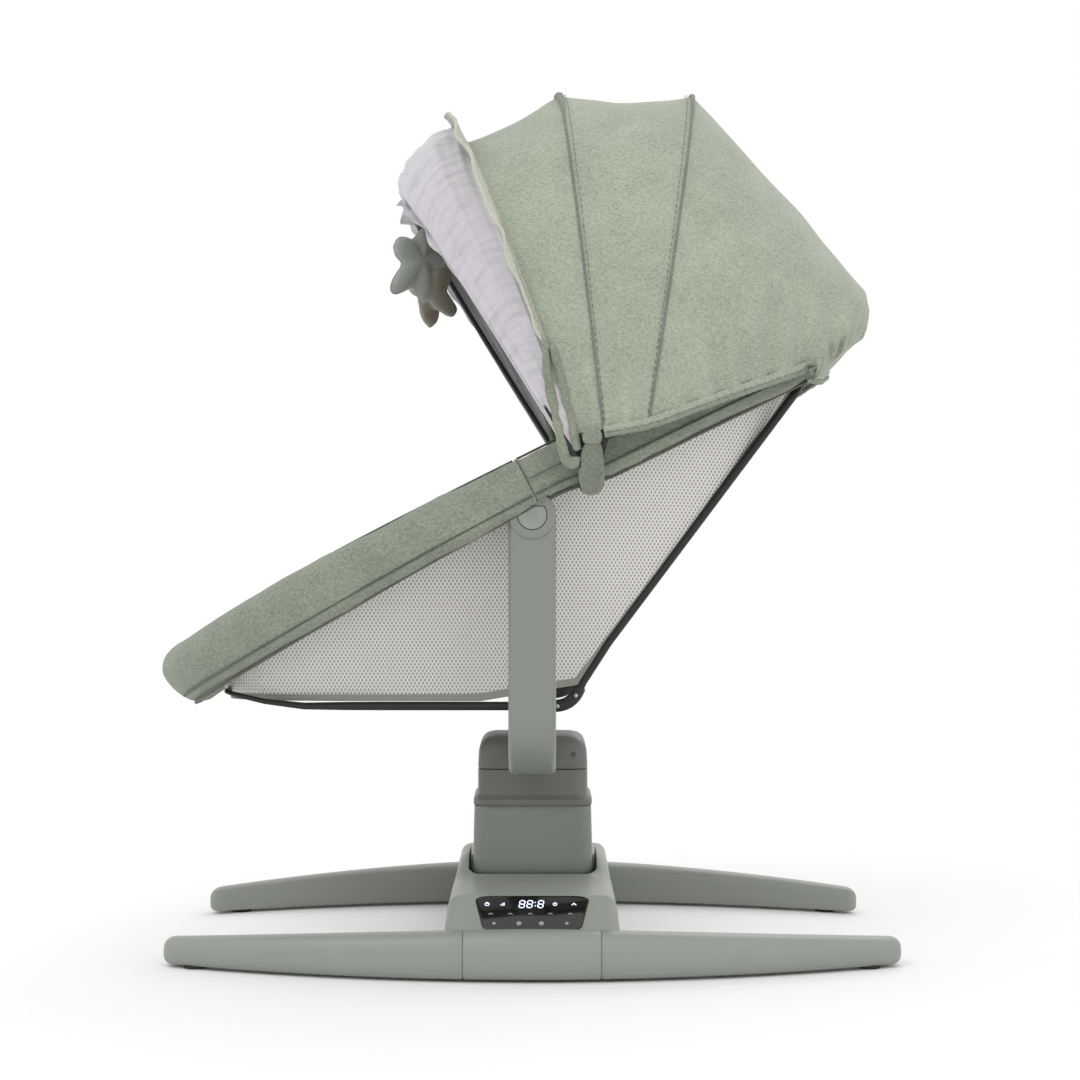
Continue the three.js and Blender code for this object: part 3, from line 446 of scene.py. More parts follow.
class Value:
    """A shader number: arithmetic on it adds Math nodes."""

    def __init__(self, sheet: "Shader", socket: object) -> None:
        """Wraps a socket of a shader."""
        self.sheet = sheet
        self.socket = socket

    def _math(self, operation: str, first: object, second: object) -> "Value":
        """Adds one Math node."""
        return self.sheet.node("ShaderNodeMath", {"operation": operation}, {0: first, 1: second})

    def __add__(self, other: object) -> "Value":
        """Sum."""
        return self._math("ADD", self, other)

    def __radd__(self, other: object) -> "Value":
        """Sum, reflected."""
        return self._math("ADD", other, self)

    def __sub__(self, other: object) -> "Value":
        """Difference."""
        return self._math("SUBTRACT", self, other)

    def __rsub__(self, other: object) -> "Value":
        """Difference, reflected."""
        return self._math("SUBTRACT", other, self)

    def __mul__(self, other: object) -> "Value":
        """Product."""
        return self._math("MULTIPLY", self, other)

    def __rmul__(self, other: object) -> "Value":
        """Product, reflected."""
        return self._math("MULTIPLY", other, self)

    def sine(self) -> "Value":
        """Sine of the value."""
        return self._math("SINE", self, 0)

    def above(self, limit: float) -> "Value":
        """1 where the value is over a limit."""
        return self._math("GREATER_THAN", self, limit)

    def least(self, other: object) -> "Value":
        """The smaller of two values."""
        return self._math("MINIMUM", self, other)

    def most(self, other: object) -> "Value":
        """The larger of two values."""
        return self._math("MAXIMUM", self, other)


class Shader:
    """One material's node tree, with one Principled shader."""

    def __init__(self, name: str, **settings: object) -> None:
        """Makes a material whose shader's own sockets hold the settings.

        Args:
            name: the material's name.
            settings: values for the shader's sockets, by name with _ for a space.
        """
        self.material = bpy.data.materials.new(name)
        self.material.use_nodes = True
        self.tree = self.material.node_tree
        self.tree.nodes.clear()
        self.output = self.tree.nodes.new("ShaderNodeOutputMaterial")
        self.surface = self.tree.nodes.new("ShaderNodeBsdfPrincipled")
        self.tree.links.new(self.surface.outputs[0], self.output.inputs["Surface"])
        for key, value in settings.items():
            self.surface.inputs[key.replace("_", " ")].default_value = value

    def node(self, kind: str, settings: dict, inputs: dict, output: object = 0) -> Value:
        """Adds a node.

        Args:
            kind: the node's type.
            settings: its properties; "stops" fills a colour ramp.
            inputs: values or links of its sockets, by name or number.
            output: which of its sockets is handed back.

        Returns:
            The output as a value.
        """
        made = self.tree.nodes.new(kind)
        for key, value in settings.items():
            if key == "stops":
                ramp = made.color_ramp
                ramp.elements[0].position, ramp.elements[0].color = value[0]
                ramp.elements[1].position, ramp.elements[1].color = value[-1]
                for position, colour in value[1:-1]:
                    ramp.elements.new(position).color = colour
            else:
                setattr(made, key, value)
        for key, value in inputs.items():
            self.set(made.inputs[key], value)
        return Value(self, made.outputs[output])

    def set(self, socket: object, value: object) -> None:
        """Links or sets one socket.

        Args:
            socket: the socket.
            value: a value to link, or a plain value.
        """
        if isinstance(value, Value):
            self.tree.links.new(value.socket, socket)
        else:
            socket.default_value = value

    def place(self, scale: float | tuple = 1.0, uv: bool = False) -> Value:
        """Where a point is, on Object coordinates or the UV map, times a scale.

        Args:
            scale: the scale, one number or three.
            uv: whether the UV map is read.

        Returns:
            The point.
        """
        source = self.node("ShaderNodeTexCoord", {}, {}, "UV" if uv else "Object")
        scales = scale if isinstance(scale, tuple) else (scale,) * 3
        return self.node("ShaderNodeMapping", {}, {"Vector": source, "Scale": scales})

    def noise(self, scale: float, detail: float = 2.0, uv: bool = False,
              stretch: tuple = (1, 1, 1)) -> Value:
        """Noise from 0 to 1 at a scale per metre."""
        place = self.place(tuple(scale * s for s in stretch), uv)
        return self.node("ShaderNodeTexNoise", {}, {"Vector": place, "Scale": 1.0, "Detail": detail})

    def axis(self, which: str, uv: bool = False) -> Value:
        """One coordinate of a point, in metres."""
        return self.node("ShaderNodeSeparateXYZ", {}, {0: self.place(1.0, uv)}, which)

    def mix(self, share: object, first: object, second: object) -> Value:
        """A colour between two colours."""
        return self.node("ShaderNodeMix", {"data_type": "RGBA"}, {0: share, 6: first, 7: second}, 2)

    def ramp(self, value: Value, stops: list) -> Value:
        """A colour looked up in stops of (position, colour)."""
        return self.node("ShaderNodeValToRGB", {"stops": stops}, {0: value})

    def feed(self, socket: str, value: object) -> "Shader":
        """Links or sets a socket of the shader itself."""
        self.set(self.surface.inputs[socket], value)
        return self

    def glow_past(self, share: Value, strength: float) -> "Shader":
        """Mixes the surface into a plain white glow by a share.

        Args:
            share: 0 where the surface shows, 1 where only the glow does.
            strength: how bright the glow is.

        Returns:
            The same shader.
        """
        glow = self.node("ShaderNodeEmission", {}, {"Strength": strength})
        mixed = self.node("ShaderNodeMixShader", {}, {0: share})
        self.tree.links.new(mixed.socket, self.output.inputs["Surface"])
        blend = self.output.inputs["Surface"].links[0].from_node
        self.tree.links.new(self.surface.outputs[0], blend.inputs[1])
        self.tree.links.new(glow.socket, blend.inputs[2])
        return self

    def bump(self, height: Value, strength: float, distance: float) -> "Shader":
        """Feeds a height to the shader's normal."""
        made = self.node("ShaderNodeBump", {}, {"Strength": strength, "Distance": distance, "Height": height})
        return self.feed("Normal", made)


def tint(red: int, green: int, blue: int, gain: float = 1.0) -> Colour:
    """A screen colour, 0 to 255, as the linear colour that shaders take.

    Args:
        red: the red channel.
        green: the green channel.
        blue: the blue channel.
        gain: how much brighter the result is.

    Returns:
        The linear colour, opaque.
    """
    def linear(channel: float) -> float:
        """One channel."""
        c = channel / 255
        return c / 12.92 if c <= 0.04045 else ((c + 0.055) / 1.055) ** 2.4
    return tuple(min(1.0, linear(c) * gain) for c in (red, green, blue)) + (1.0,)


def dimmed(colour: Colour, share: float) -> Colour:
    """A colour darkened to a share of itself."""
    return tuple(c * share for c in colour[:3]) + (1.0,)


@dataclass(frozen=True)
class Plastic:
    """Moulded plastic with a fine grain and a little unevenness."""

    name: str
    colour: Colour
    roughness: float = 0.42
    grain: float = 0.12

    def material(self) -> bpy.types.Material:
        """Builds the material.

        Returns:
            The material.
        """
        sheet = Shader(self.name, Specular_IOR_Level=0.45)
        cloud = sheet.noise(14, 3)
        sheet.feed("Base Color", sheet.mix(cloud, dimmed(self.colour, 0.93), self.colour))
        sheet.feed("Roughness", sheet.noise(60, 2) * 0.12 + (self.roughness - 0.06))
        sheet.bump(sheet.noise(1500, 2), self.grain, 0.0004)
        return sheet.material


@dataclass(frozen=True)
class Melange:
    """Heathered woven cloth: mixed light and dark yarns over a plain weave."""

    name: str
    light: Colour
    dark: Colour
    yarn: float = 0.0011
    contrast: float = 1.0

    def material(self) -> bpy.types.Material:
        """Builds the material.

        Returns:
            The material.
        """
        sheet = Shader(self.name, Roughness=0.92, Specular_IOR_Level=0.2, Sheen_Weight=0.25,
                       Sheen_Roughness=0.5)
        warp = (sheet.axis("X", True) * (math.tau / self.yarn)).sine()
        weft = (sheet.axis("Y", True) * (math.tau / self.yarn)).sine()
        heather = sheet.noise(300, 4, stretch=(1, 1, 1.6))
        slub = sheet.noise(900, 2, True, (0.25, 1, 1))
        cloud = sheet.noise(26, 3)
        mixed = heather * 0.62 * self.contrast + slub * 0.38 * self.contrast + (0.5 - 0.5 * self.contrast)
        stops = [(0.33, self.dark), (0.67, self.light)]
        yarns = sheet.ramp(mixed + cloud * 0.22 - 0.11, stops)
        sheet.feed("Base Color", yarns)
        sheet.bump(warp * weft * 0.5 + heather * 1.2 + cloud * 0.8, 0.35, 0.0008)
        return sheet.material


@dataclass(frozen=True)
class Lattice:
    """Knitted spacer mesh: a lattice of threads with small open diamonds between them, partly see-through and
    painted darker inside as shade.
    """

    name: str
    thread: Colour
    gap: Colour
    pitch: float = 0.0062
    openness: float = 0.55

    def material(self) -> bpy.types.Material:
        """Builds the material.

        Returns:
            The material.
        """
        sheet = Shader(self.name, Roughness=0.85, Specular_IOR_Level=0.25, Sheen_Weight=0.2)
        u, v = sheet.axis("X", True), sheet.axis("Y", True)
        turn = math.tau / self.pitch / 2
        one = ((u + v * 0.62) * turn).sine()
        other = ((u - v * 0.62) * turn).sine()
        cells = one * other
        hole = (cells * cells - 0.32) * 4.0
        open_share = hole.most(0.0).least(1.0)
        # Open diamonds take the darker colour: painted shade inside the holes, which are also partly
        # see-through.
        sheet.feed("Base Color", sheet.mix(open_share, self.thread, self.gap))
        sheet.feed("Alpha", 1.0 - open_share * self.openness)
        sheet.bump(1.0 - open_share, 0.4, 0.0008)
        return sheet.material


@dataclass(frozen=True)
class Gauze:
    """Fine see-through net, denser along its folds."""

    name: str
    colour: Colour
    density: float = 0.72

    def material(self) -> bpy.types.Material:
        """Builds the material.

        Returns:
            The material.
        """
        sheet = Shader(self.name, Roughness=0.8, Specular_IOR_Level=0.2, Sheen_Weight=0.4)
        u, v = sheet.axis("X", True), sheet.axis("Y", True)
        turn = math.tau / 0.0016
        holes = ((u * turn).sine() * (v * turn).sine()).most(0.0)
        streak = sheet.noise(46, 3, True, (3.0, 0.35, 1))
        sheet.feed("Base Color", sheet.mix(streak, dimmed(self.colour, 0.8), self.colour))
        sheet.feed("Alpha", (streak * 0.5 + (self.density - 0.12)).least(1.0) - holes * 0.12)
        sheet.bump(streak, 0.5, 0.002)
        return sheet.material


@dataclass(frozen=True)
class Plush:
    """Short-pile toy cloth."""

    name: str
    colour: Colour

    def material(self) -> bpy.types.Material:
        """Builds the material.

        Returns:
            The material.
        """
        sheet = Shader(self.name, Roughness=1.0, Specular_IOR_Level=0.1, Sheen_Weight=0.6,
                       Sheen_Roughness=0.6)
        pile = sheet.noise(700, 4)
        sheet.feed("Base Color", sheet.mix(pile, dimmed(self.colour, 0.72), self.colour))
        sheet.bump(pile + sheet.noise(90, 3), 0.7, 0.0015)
        return sheet.material


@dataclass(frozen=True)
class Metal:
    """Metal, bare or under a thin coat."""

    name: str
    colour: Colour
    roughness: float = 0.35
    metallic: float = 1.0

    def material(self) -> bpy.types.Material:
        """Builds the material.

        Returns:
            The material.
        """
        sheet = Shader(self.name, Metallic=self.metallic)
        sheet.feed("Base Color", sheet.mix(sheet.noise(30, 3), dimmed(self.colour, 0.9), self.colour))
        sheet.feed("Roughness", sheet.noise(220, 3) * 0.15 + (self.roughness - 0.07))
        sheet.bump(sheet.noise(1200, 2), 0.08, 0.0003)
        return sheet.material


@dataclass(frozen=True)
class Webbing:
    """Woven tape with ribs across it, painted darker in the hollows between its ribs as shade."""

    name: str
    colour: Colour
    rib: float = 0.0022

    def material(self) -> bpy.types.Material:
        """Builds the material.

        Returns:
            The material.
        """
        sheet = Shader(self.name, Roughness=0.85, Specular_IOR_Level=0.25, Sheen_Weight=0.2)
        ribs = (sheet.axis("Y", True) * (math.tau / self.rib)).sine()
        chevron = (sheet.axis("X", True) * (math.tau / self.rib / 1.4)).sine()
        relief = ribs * 0.5 + chevron * 0.3
        # Colour darkens with the rib relief: painted shade in the hollows between ribs.
        sheet.feed("Base Color", sheet.mix(relief * 0.5 + 0.5, dimmed(self.colour, 0.62), self.colour))
        sheet.bump(relief + sheet.noise(900, 2) * 0.5, 0.5, 0.0006)
        return sheet.material


@dataclass(frozen=True)
class Gloss:
    """Polished black touch panel."""

    name: str
    colour: Colour

    def material(self) -> bpy.types.Material:
        """Builds the material.

        Returns:
            The material.
        """
        sheet = Shader(self.name, Specular_IOR_Level=0.5, Coat_Weight=0.6)
        sheet.feed("Base Color", self.colour)
        sheet.feed("Roughness", sheet.noise(40, 2) * 0.08 + 0.08)
        sheet.bump(sheet.noise(18, 2), 0.02, 0.0005)
        return sheet.material


@dataclass(frozen=True)
class Lit:
    """A lit symbol behind the panel."""

    name: str
    colour: Colour
    power: float

    def material(self) -> bpy.types.Material:
        """Builds the material.

        Returns:
            The material.
        """
        sheet = Shader(self.name, Roughness=0.3, Emission_Strength=self.power)
        sheet.feed("Base Color", self.colour)
        sheet.feed("Emission Color", sheet.mix(sheet.noise(500, 1), self.colour, dimmed(self.colour, 0.8)))
        return sheet.material


class Finish(Enum):
    """Every finish on the swing, with the record's slot that it belongs to."""

    STAND = ("stand_plastic", Plastic("stand_plastic_look", tint(143, 148, 140), 0.4))
    TOWER = ("tower_plastic", Plastic("tower_plastic_look", tint(124, 129, 123), 0.4))
    CAP = ("cap_plastic", Plastic("cap_plastic_look", tint(104, 106, 100), 0.42))
    ARM = ("arm_plastic", Plastic("arm_plastic_look", tint(130, 134, 128), 0.36))
    BLACK = ("black_plastic", Plastic("black_plastic_look", tint(34, 34, 33), 0.45))
    DARK_GREY = ("black_plastic", Plastic("dark_grey_look", tint(82, 84, 80), 0.5))
    PANEL = ("panel_gloss", Gloss("panel_look", tint(10, 9, 11)))
    LIT = ("panel_gloss", Lit("digits_look", tint(214, 222, 255), 1.4))
    FAINT = ("panel_gloss", Lit("symbols_look", tint(170, 166, 170), 0.35))
    RUBBER = ("rubber", Plastic("rubber_look", tint(43, 44, 43), 0.85, 0.3))
    STEEL = ("steel", Metal("steel_look", tint(183, 186, 189), 0.3))
    TUBE = ("dark_tube", Metal("dark_tube_look", tint(44, 45, 43), 0.45, 0.35))
    COPPER = ("copper_winding", Metal("copper_look", tint(176, 106, 58), 0.4))
    BOARD = ("circuit_board", Plastic("board_look", tint(31, 90, 52), 0.5))
    CLOTH = ("melange_cloth", Melange("canopy_cloth_look", tint(178, 185, 167), tint(140, 147, 130)))
    RIM = ("melange_cloth", Melange("rim_cloth_look", tint(153, 160, 144), tint(112, 119, 104)))
    EDGE = ("melange_cloth", Melange("edge_cloth_look", tint(206, 206, 192), tint(170, 172, 156),
                                     contrast=0.6))
    # Darker rim cloth: painted shade, worn by the hinge pockets that sit under the hood's hem.
    SHADE = ("melange_cloth", Melange("painted_shade_look", tint(134, 140, 126), tint(98, 104, 92)))
    SEAM = ("melange_cloth", Melange("seam_look", tint(138, 144, 129), tint(98, 104, 92)))
    PIPING = ("melange_cloth", Melange("piping_look", tint(104, 108, 97), tint(72, 76, 68)))
    MESH = ("bucket_mesh", Lattice("bucket_mesh_look", tint(222, 219, 214), tint(158, 155, 149),
                                   0.0042, 0.25))
    LINER = ("liner_cloth", Melange("liner_look", tint(246, 245, 241), tint(232, 230, 224), contrast=0.5))
    WEBBING = ("webbing", Webbing("webbing_look", tint(150, 154, 146)))
    BINDING = ("webbing", Webbing("binding_look", tint(160, 161, 152)))
    DARK_TAPE = ("webbing", Webbing("dark_tape_look", tint(84, 84, 80)))
    NET = ("net_cloth", Gauze("net_look", tint(202, 198, 204), 0.86))
    SAGE = ("plush_sage", Plush("plush_sage_look", tint(132, 138, 128)))
    TAUPE = ("plush_taupe", Plush("plush_taupe_look", tint(124, 116, 100)))

    @property
    def slot(self) -> str:
        """The record's material slot."""
        return self.value[0]

    def material(self) -> bpy.types.Material:
        """The material, built once."""
        look = self.value[1]
        return bpy.data.materials.get(look.name) or look.material()


def dress(piece: Piece, finish: Finish, body: str, *replaced: str) -> Piece:
    """Gives a piece its finish and its body, and hides the CAD nodes that it stands for.

    Args:
        piece: the finished mesh.
        finish: what it is made of.
        body: the frame body that it rides on.
        *replaced: CAD nodes that it stands for.

    Returns:
        The same piece.
    """
    piece.data.materials.clear()
    piece.data.materials.append(finish.material())
    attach(piece, body)
    if replaced:
        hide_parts(*replaced)
    LOG.info("%s rides on %s", piece.name, body)
    return piece


def repaint(finish: Finish, *nodes: str) -> None:
    """Gives CAD nodes that stay in sight a finish.

    Args:
        finish: what they are made of.
        *nodes: names of the nodes.
    """
    for name in nodes:
        node = frame["nodes"][name]
        node.data.materials.clear()
        node.data.materials.append(finish.material())
        Shop.smooth(node, 30)


# ---------------------------------------------------------------- lines that several pieces share


@dataclass
class Rim:
    """The seat's upper ring: a tilted, slightly crowned superellipse."""

    tilt: float = math.radians(27.4)
    centre: Vector = field(default_factory=lambda: Vector((-0.039, 0, 0.4755)))
    long: float = 0.382
    wide: float = 0.200
    square: float = 2.35
    crown: float = 0.012

    def flat(self, angle: float) -> Flat:
        """Where an angle round the ring is, along it and across it: 0 is the head end."""
        return (self.long * squared(math.cos(angle), self.square),
                self.wide * squared(math.sin(angle), self.square))

    def point(self, angle: float, out: float = 0.0, up: float = 0.0) -> Vector:
        """A point beside the ring's centre line.

        Args:
            angle: round the ring; a quarter turn is the baby's right.
            out: distance outwards in the ring's plane.
            up: distance off that plane.

        Returns:
            The point.
        """
        along = Vector((math.cos(self.tilt), 0, math.sin(self.tilt)))
        rise = Vector((-math.sin(self.tilt), 0, math.cos(self.tilt)))
        a, b = self.flat(angle)
        (a0, b0), (a1, b1) = self.flat(angle - 0.01), self.flat(angle + 0.01)
        travel = Vector((a1 - a0, b1 - b0)).normalized()
        share = a / self.long
        return (self.centre + along * (a + out * travel.y) + Y_AXIS * (b - out * travel.x)
                + rise * (self.crown * (1 - share * share) + up))

    def angle_at(self, x: float) -> float:
        """The angle, on the baby's right, where the centre line crosses an x.

        Args:
            x: the x.

        Returns:
            The angle.
        """
        low, high = 0.01, math.pi - 0.01
        for _ in range(40):
            middle = (low + high) / 2
            low, high = (middle, high) if self.point(middle).x > x else (low, middle)
        return low


@dataclass
class Cradle:
    """The bent lower frame's line in side view, and the bowl that lies between it and the rim."""

    rim: Rim
    foot: Flat = (-0.332, 0.268)
    bend: Flat = (0.040, 0.268)
    head: Flat = (0.295, 0.608)
    half: float = 0.110
    lift: float = 0.0105
    edge: float = 0.0195
    corner: float = 0.018

    @property
    def first(self) -> float:
        """Length of the level part."""
        return math.dist(self.foot, self.bend)

    @property
    def total(self) -> float:
        """Length of the whole line."""
        return self.first + math.dist(self.bend, self.head)

    def place(self, distance: float, up: float = 0.0, y: float = 0.0) -> Vector:
        """A point a distance along the line and above it, the bend rounded off.

        Args:
            distance: how far along the line.
            up: how far above it.
            y: the distance to the side.

        Returns:
            The point.
        """
        def plain(d: float) -> Vector:
            """The same with a sharp bend."""
            start, end, gone = ((self.foot, self.bend, d) if d < self.first
                                else (self.bend, self.head, d - self.first))
            along = Vector((end[0] - start[0], 0, end[1] - start[1])).normalized()
            lift = Vector((-along.z, 0, along.x))
            return Vector((start[0], 0, start[1])) + along * gone + lift * up
        near = abs(distance - self.first)
        if near >= self.corner:
            made = plain(distance)
        else:
            t = (distance - self.first + self.corner) / (2 * self.corner)
            a, b = plain(self.first - self.corner), plain(self.first + self.corner)
            meet = Vector((self.bend[0], 0, self.bend[1])) + Vector((-0.37, 0, 0.93)) * up
            made = a * (1 - t) ** 2 + meet * 2 * t * (1 - t) + b * t * t
        made.y = y
        return made

    def floor(self, angle: float, inset: float, up: float, share: float = 1.0) -> Vector:
        """A point of the seat bottom's outline, drawn in towards the middle line by a share.

        Args:
            angle: round the bottom.
            inset: how far inside the edge.
            up: how far above the line.
            share: 1 at the outline, 0 on the middle line.

        Returns:
            The point.
        """
        c, s = squared(math.cos(angle), 5), squared(math.sin(angle), 5)
        travel = self.total / 2 * (1 - c * (1 - 2 * inset / self.total))
        return self.place(self.total - travel, up, (self.half - inset) * s * share)

    def rings(self, offset: float, lip: float, count: int = 96, belly: float = 0.006,
              walls: int = 12, floors: int = 5) -> list[Ring]:
        """Rings of the bowl from its lip down to its middle line.

        Args:
            offset: how far inside the frame and the rim it lies.
            lip: how far down the wall it starts, as a share.
            count: points in each ring.
            belly: how far the walls stand out of a straight line.
            walls: rings on the walls.
            floors: rings on the bottom.

        Returns:
            The rings.
        """
        angles = [math.tau * i / count for i in range(count)]
        rows = []
        for blend in spread(walls):
            row = []
            for angle in angles:
                top = self.rim.point(angle, -self.edge - offset)
                low = self.floor(angle, offset, self.lift + offset)
                p = top.lerp(low, lip + (1 - lip) * blend)
                away = Vector((p.x + 0.03, p.y * 1.6, 0)).normalized()
                row.append(p + away * belly * math.sin(math.pi * blend))
            rows.append(row)
        for s in spread(floors)[1:]:
            rows.append([self.floor(a, offset, self.lift + offset - 0.002 * math.sin(math.pi * s / 2), 1 - s)
                         for a in angles])
        return rows


@dataclass(frozen=True)
class Arch:
    """An arch of cloth or bar across the seat: its foot and its top in side view, and half its width."""

    foot: Flat
    tip: Flat
    wide: float
    square: float = 2.7

    def point(self, u: float, out: float = 0.0) -> Vector:
        """A point of the arch: u from 0 at the baby's left foot of the arch to 1 at the right.

        Args:
            u: the share of the way along.
            out: how much larger than the arch.

        Returns:
            The point.
        """
        rise = squared(math.sin(math.pi * u), self.square)
        across = -squared(math.cos(math.pi * u), self.square)
        spoke = Vector((self.tip[0] - self.foot[0], self.tip[1] - self.foot[1]))
        grown = spoke * (1 + out / spoke.length)
        return Vector((self.foot[0] + grown.x * rise, (self.wide + out) * across,
                       self.foot[1] + grown.y * rise))

    def towards(self, other: "Arch", t: float) -> "Arch":
        """An arch part of the way to another.

        Args:
            other: the arch to go to.
            t: how much of the way.

        Returns:
            The arch in between.
        """
        def mix(a: Flat, b: Flat) -> Flat:
            """Between two points in side view."""
            return (a[0] + (b[0] - a[0]) * t, a[1] + (b[1] - a[1]) * t)
        return Arch(mix(self.foot, other.foot), mix(self.tip, other.tip),
                    self.wide + (other.wide - self.wide) * t, self.square)

    def line(self, count: int, out: float = 0.0, low: float = 0.0, high: float = 1.0) -> Ring:
        """Points of the arch, closer together near its feet."""
        return [self.point(low + (high - low) * (0.5 - 0.5 * math.cos(math.pi * t)), out)
                for t in spread(count)]


def curve(p0: Place, p1: Place, p2: Place, p3: Place, t: float) -> Place:
    """A point of a smooth curve, or one coordinate of it.

    Args:
        p0: the point before the stretch.
        p1: where the stretch starts.
        p2: where it ends.
        p3: the point after it.
        t: how far along it, from 0 to 1.

    Returns:
        The point.
    """
    return (p1 * 2 + (p2 - p0) * t + (p0 * 2 - p1 * 5 + p2 * 4 - p3) * t ** 2
            + (p1 * 3 - p0 - p2 * 3 + p3) * t ** 3) * 0.5


def smooth_outline(points: Outline, count: int) -> list[Flat]:
    """A smooth closed curve through points.

    Args:
        points: the points, going once round.
        count: how many points the curve has.

    Returns:
        The curve.
    """
    made = []
    total = len(points)
    for k in range(count):
        s = k / count * total
        i = int(s)
        p = curve(*(Vector(points[(i + d) % total]) for d in (-1, 0, 1, 2)), s - i)
        made.append((p.x, p.y))
    return made


def smooth_line(points: Sequence[Vector], count: int) -> list[Vector]:
    """A smooth open curve through points.

    Args:
        points: the points.
        count: how many steps the curve has.

    Returns:
        The curve.
    """
    ends = [points[0] * 2 - points[1], *points, points[-1] * 2 - points[-2]]
    made = []
    for s in spread(count, 0, len(points) - 1):
        i = min(int(s), len(points) - 2)
        made.append(curve(*ends[i:i + 4], s - i))
    return made


def wrinkle(point: Vector, scale: float, depth: float, seed: float = 0.0) -> float:
    """A small, smooth, unrepeated height at a point."""
    return depth * noise.noise(point * scale + Vector((seed, seed * 0.7, -seed)))


# ---------------------------------------------------------------- floor stand


@dataclass
class FloorStand:
    """Curved feet joined by a bridge that carries the touch panel and the sway drive."""

    half_length: float = 0.387
    foot_y: float = 0.258
    bow: float = 0.088
    foot_wide: Flat = (0.044, 0.034)
    foot_tall: Flat = (0.048, 0.026)
    underside: float = 0.0034
    seam: float = 0.0704
    chamfer: float = 0.955
    tip_round: float = 0.012
    bridge_y: float = 0.248
    slope: tuple[Flat, Flat] = ((0.248, 0.047), (0.208, 0.080))
    flank: tuple = ((0.0034, 0.091), (0.044, 0.090), (0.066, 0.0875), (0.090, 0.080), (0.100, 0.075))
    top: float = 0.079
    hump: float = 0.021
    pad_x: float = 0.352
    well: tuple[float, float, float] = (0.0705, 0.072, 0.014)
    foot_shape: Outline = ((-0.86, 0.0), (0.0, -0.005), (0.62, 0.0), (0.93, 0.2), (1, 0.5), (0.92, 0.78),
                           (0.62, 0.955), (0.15, 1), (-0.5, 0.985), (-0.9, 0.84), (-1, 0.5), (-0.98, 0.12))

    def foot_ring(self, x: float, side: int, shrink: float = 1.0, grow: float = 0.0) -> Ring:
        """The foot's section at an x.

        Args:
            x: where along the foot.
            side: which foot.
            shrink: how much the section is drawn in.
            grow: how much it is let out, in metres.

        Returns:
            The section.
        """
        t = min(1.0, abs(x) / self.half_length)
        y = self.foot_y - self.bow * t * t
        half = (self.foot_wide[0] + (self.foot_wide[1] - self.foot_wide[0]) * t) / 2
        tall = self.foot_tall[0] + (self.foot_tall[1] - self.foot_tall[0]) * t ** 1.6
        outline = smooth_outline(self.foot_shape, 36)
        return [Vector((x, side * (y + a * (half + grow) * shrink),
                        self.underside + tall * ((b - 0.45) * shrink + 0.45) + (b - 0.5) * 2 * grow))
                for a, b in outline]

    def feet(self) -> None:
        """The four plug-in legs and the middle length of each foot."""
        for side_name, side in SIDES.items():
            for end_name, end in ENDS.items():
                body_end = self.half_length - self.tip_round
                rows = [self.foot_ring(end * self.seam, side, self.chamfer)]
                rows += [self.foot_ring(end * x, side) for x in spread(26, self.seam + 0.0016, body_end)]
                for k in range(1, 9):
                    turn = k / 8 * math.pi / 2
                    x = body_end + self.tip_round * math.sin(turn)
                    rows.append(self.foot_ring(end * x, side, max(0.12, math.cos(turn) ** 0.55)))
                leg = Shop.skin(f"leg_{side_name}_{end_name}_shell", rows, around=True)
                dress(Shop.smooth(leg, 50), Finish.STAND, "base", f"leg_{side_name}_{end_name}")
                t = self.pad_x / self.half_length
                y = side * (self.foot_y - self.bow * t * t)
                low, high = Vector((end * self.pad_x, y, 0)), Vector((end * self.pad_x, y, 0.0034))
                pad = Shop.disc(f"pad_{side_name}_{end_name}", 0.012, low, high, 0.0009, 36)
                dress(pad, Finish.RUBBER, "base", f"foot_pad_{side_name}_{end_name}")
            xs = [-self.seam + 0.0004, -self.seam + 0.002, *spread(10, -0.06, 0.06), self.seam - 0.002,
                  self.seam - 0.0004]
            rows = [self.foot_ring(x, side, self.chamfer if i in (0, len(xs) - 1) else 1.0)
                    for i, x in enumerate(xs)]
            middle = Shop.skin(f"foot_middle_{side_name}", rows, around=True)
            dress(Shop.smooth(middle, 50), Finish.STAND, "base", "base_bridge")

    def flank_at(self, z: float) -> float:
        """Half the bridge's width at a height.

        Args:
            z: the height.

        Returns:
            The half width.
        """
        for (z0, w0), (z1, w1) in zip(self.flank, self.flank[1:]):
            if z <= z1:
                return w0 + (w1 - w0) * (z - z0) / (z1 - z0)
        return self.flank[-1][1]

    def height(self, y: float) -> float:
        """The bridge's top at a distance from the middle.

        Args:
            y: the distance.

        Returns:
            The height.
        """
        far = abs(y)
        (out_y, out_z), (in_y, in_z) = self.slope
        slope = in_z - (in_z - out_z) * (far - in_y) / (out_y - in_y)
        level = self.top + self.hump * (1 - ease(far, 0.026, 0.084))
        return min(level, slope) if far > in_y - 0.004 else level

    def bridge_ring(self, y: float) -> Ring:
        """The bridge's section at a distance from the middle.

        Args:
            y: the distance.

        Returns:
            The section.
        """
        top = self.height(y)
        low = self.flank[0][0]
        right = [(self.flank_at(low) - 0.002, low), (self.flank_at(low), low + 0.002)]
        right += [(self.flank_at(z), z) for z in spread(5, low + 0.006, top - 0.015)]
        corner = 0.0125
        edge = self.flank_at(top - corner)
        for k in range(1, 9):
            turn = k / 8 * math.pi / 2
            right.append((edge - corner * (1 - math.cos(turn)), top - corner + corner * math.sin(turn)))
        right.append((edge * 0.45, top + 0.0004))
        half = [Vector((x, y, z)) for x, z in right]
        return half + [Vector((-p.x, p.y, p.z)) for p in reversed(half)]

    def panel_frame(self) -> Matrix:
        """The sloped panel's own axes: along x, up the slope and out of it.

        Returns:
            The axes, as a matrix.
        """
        (out_y, out_z), (in_y, in_z) = self.slope
        up = Vector((0, out_y - in_y, in_z - out_z)).normalized()
        out = X_AXIS.cross(up)
        place = Matrix.Translation((0, -(out_y + in_y) / 2, (out_z + in_z) / 2))
        return place @ Matrix((X_AXIS, up, out)).transposed().to_4x4()

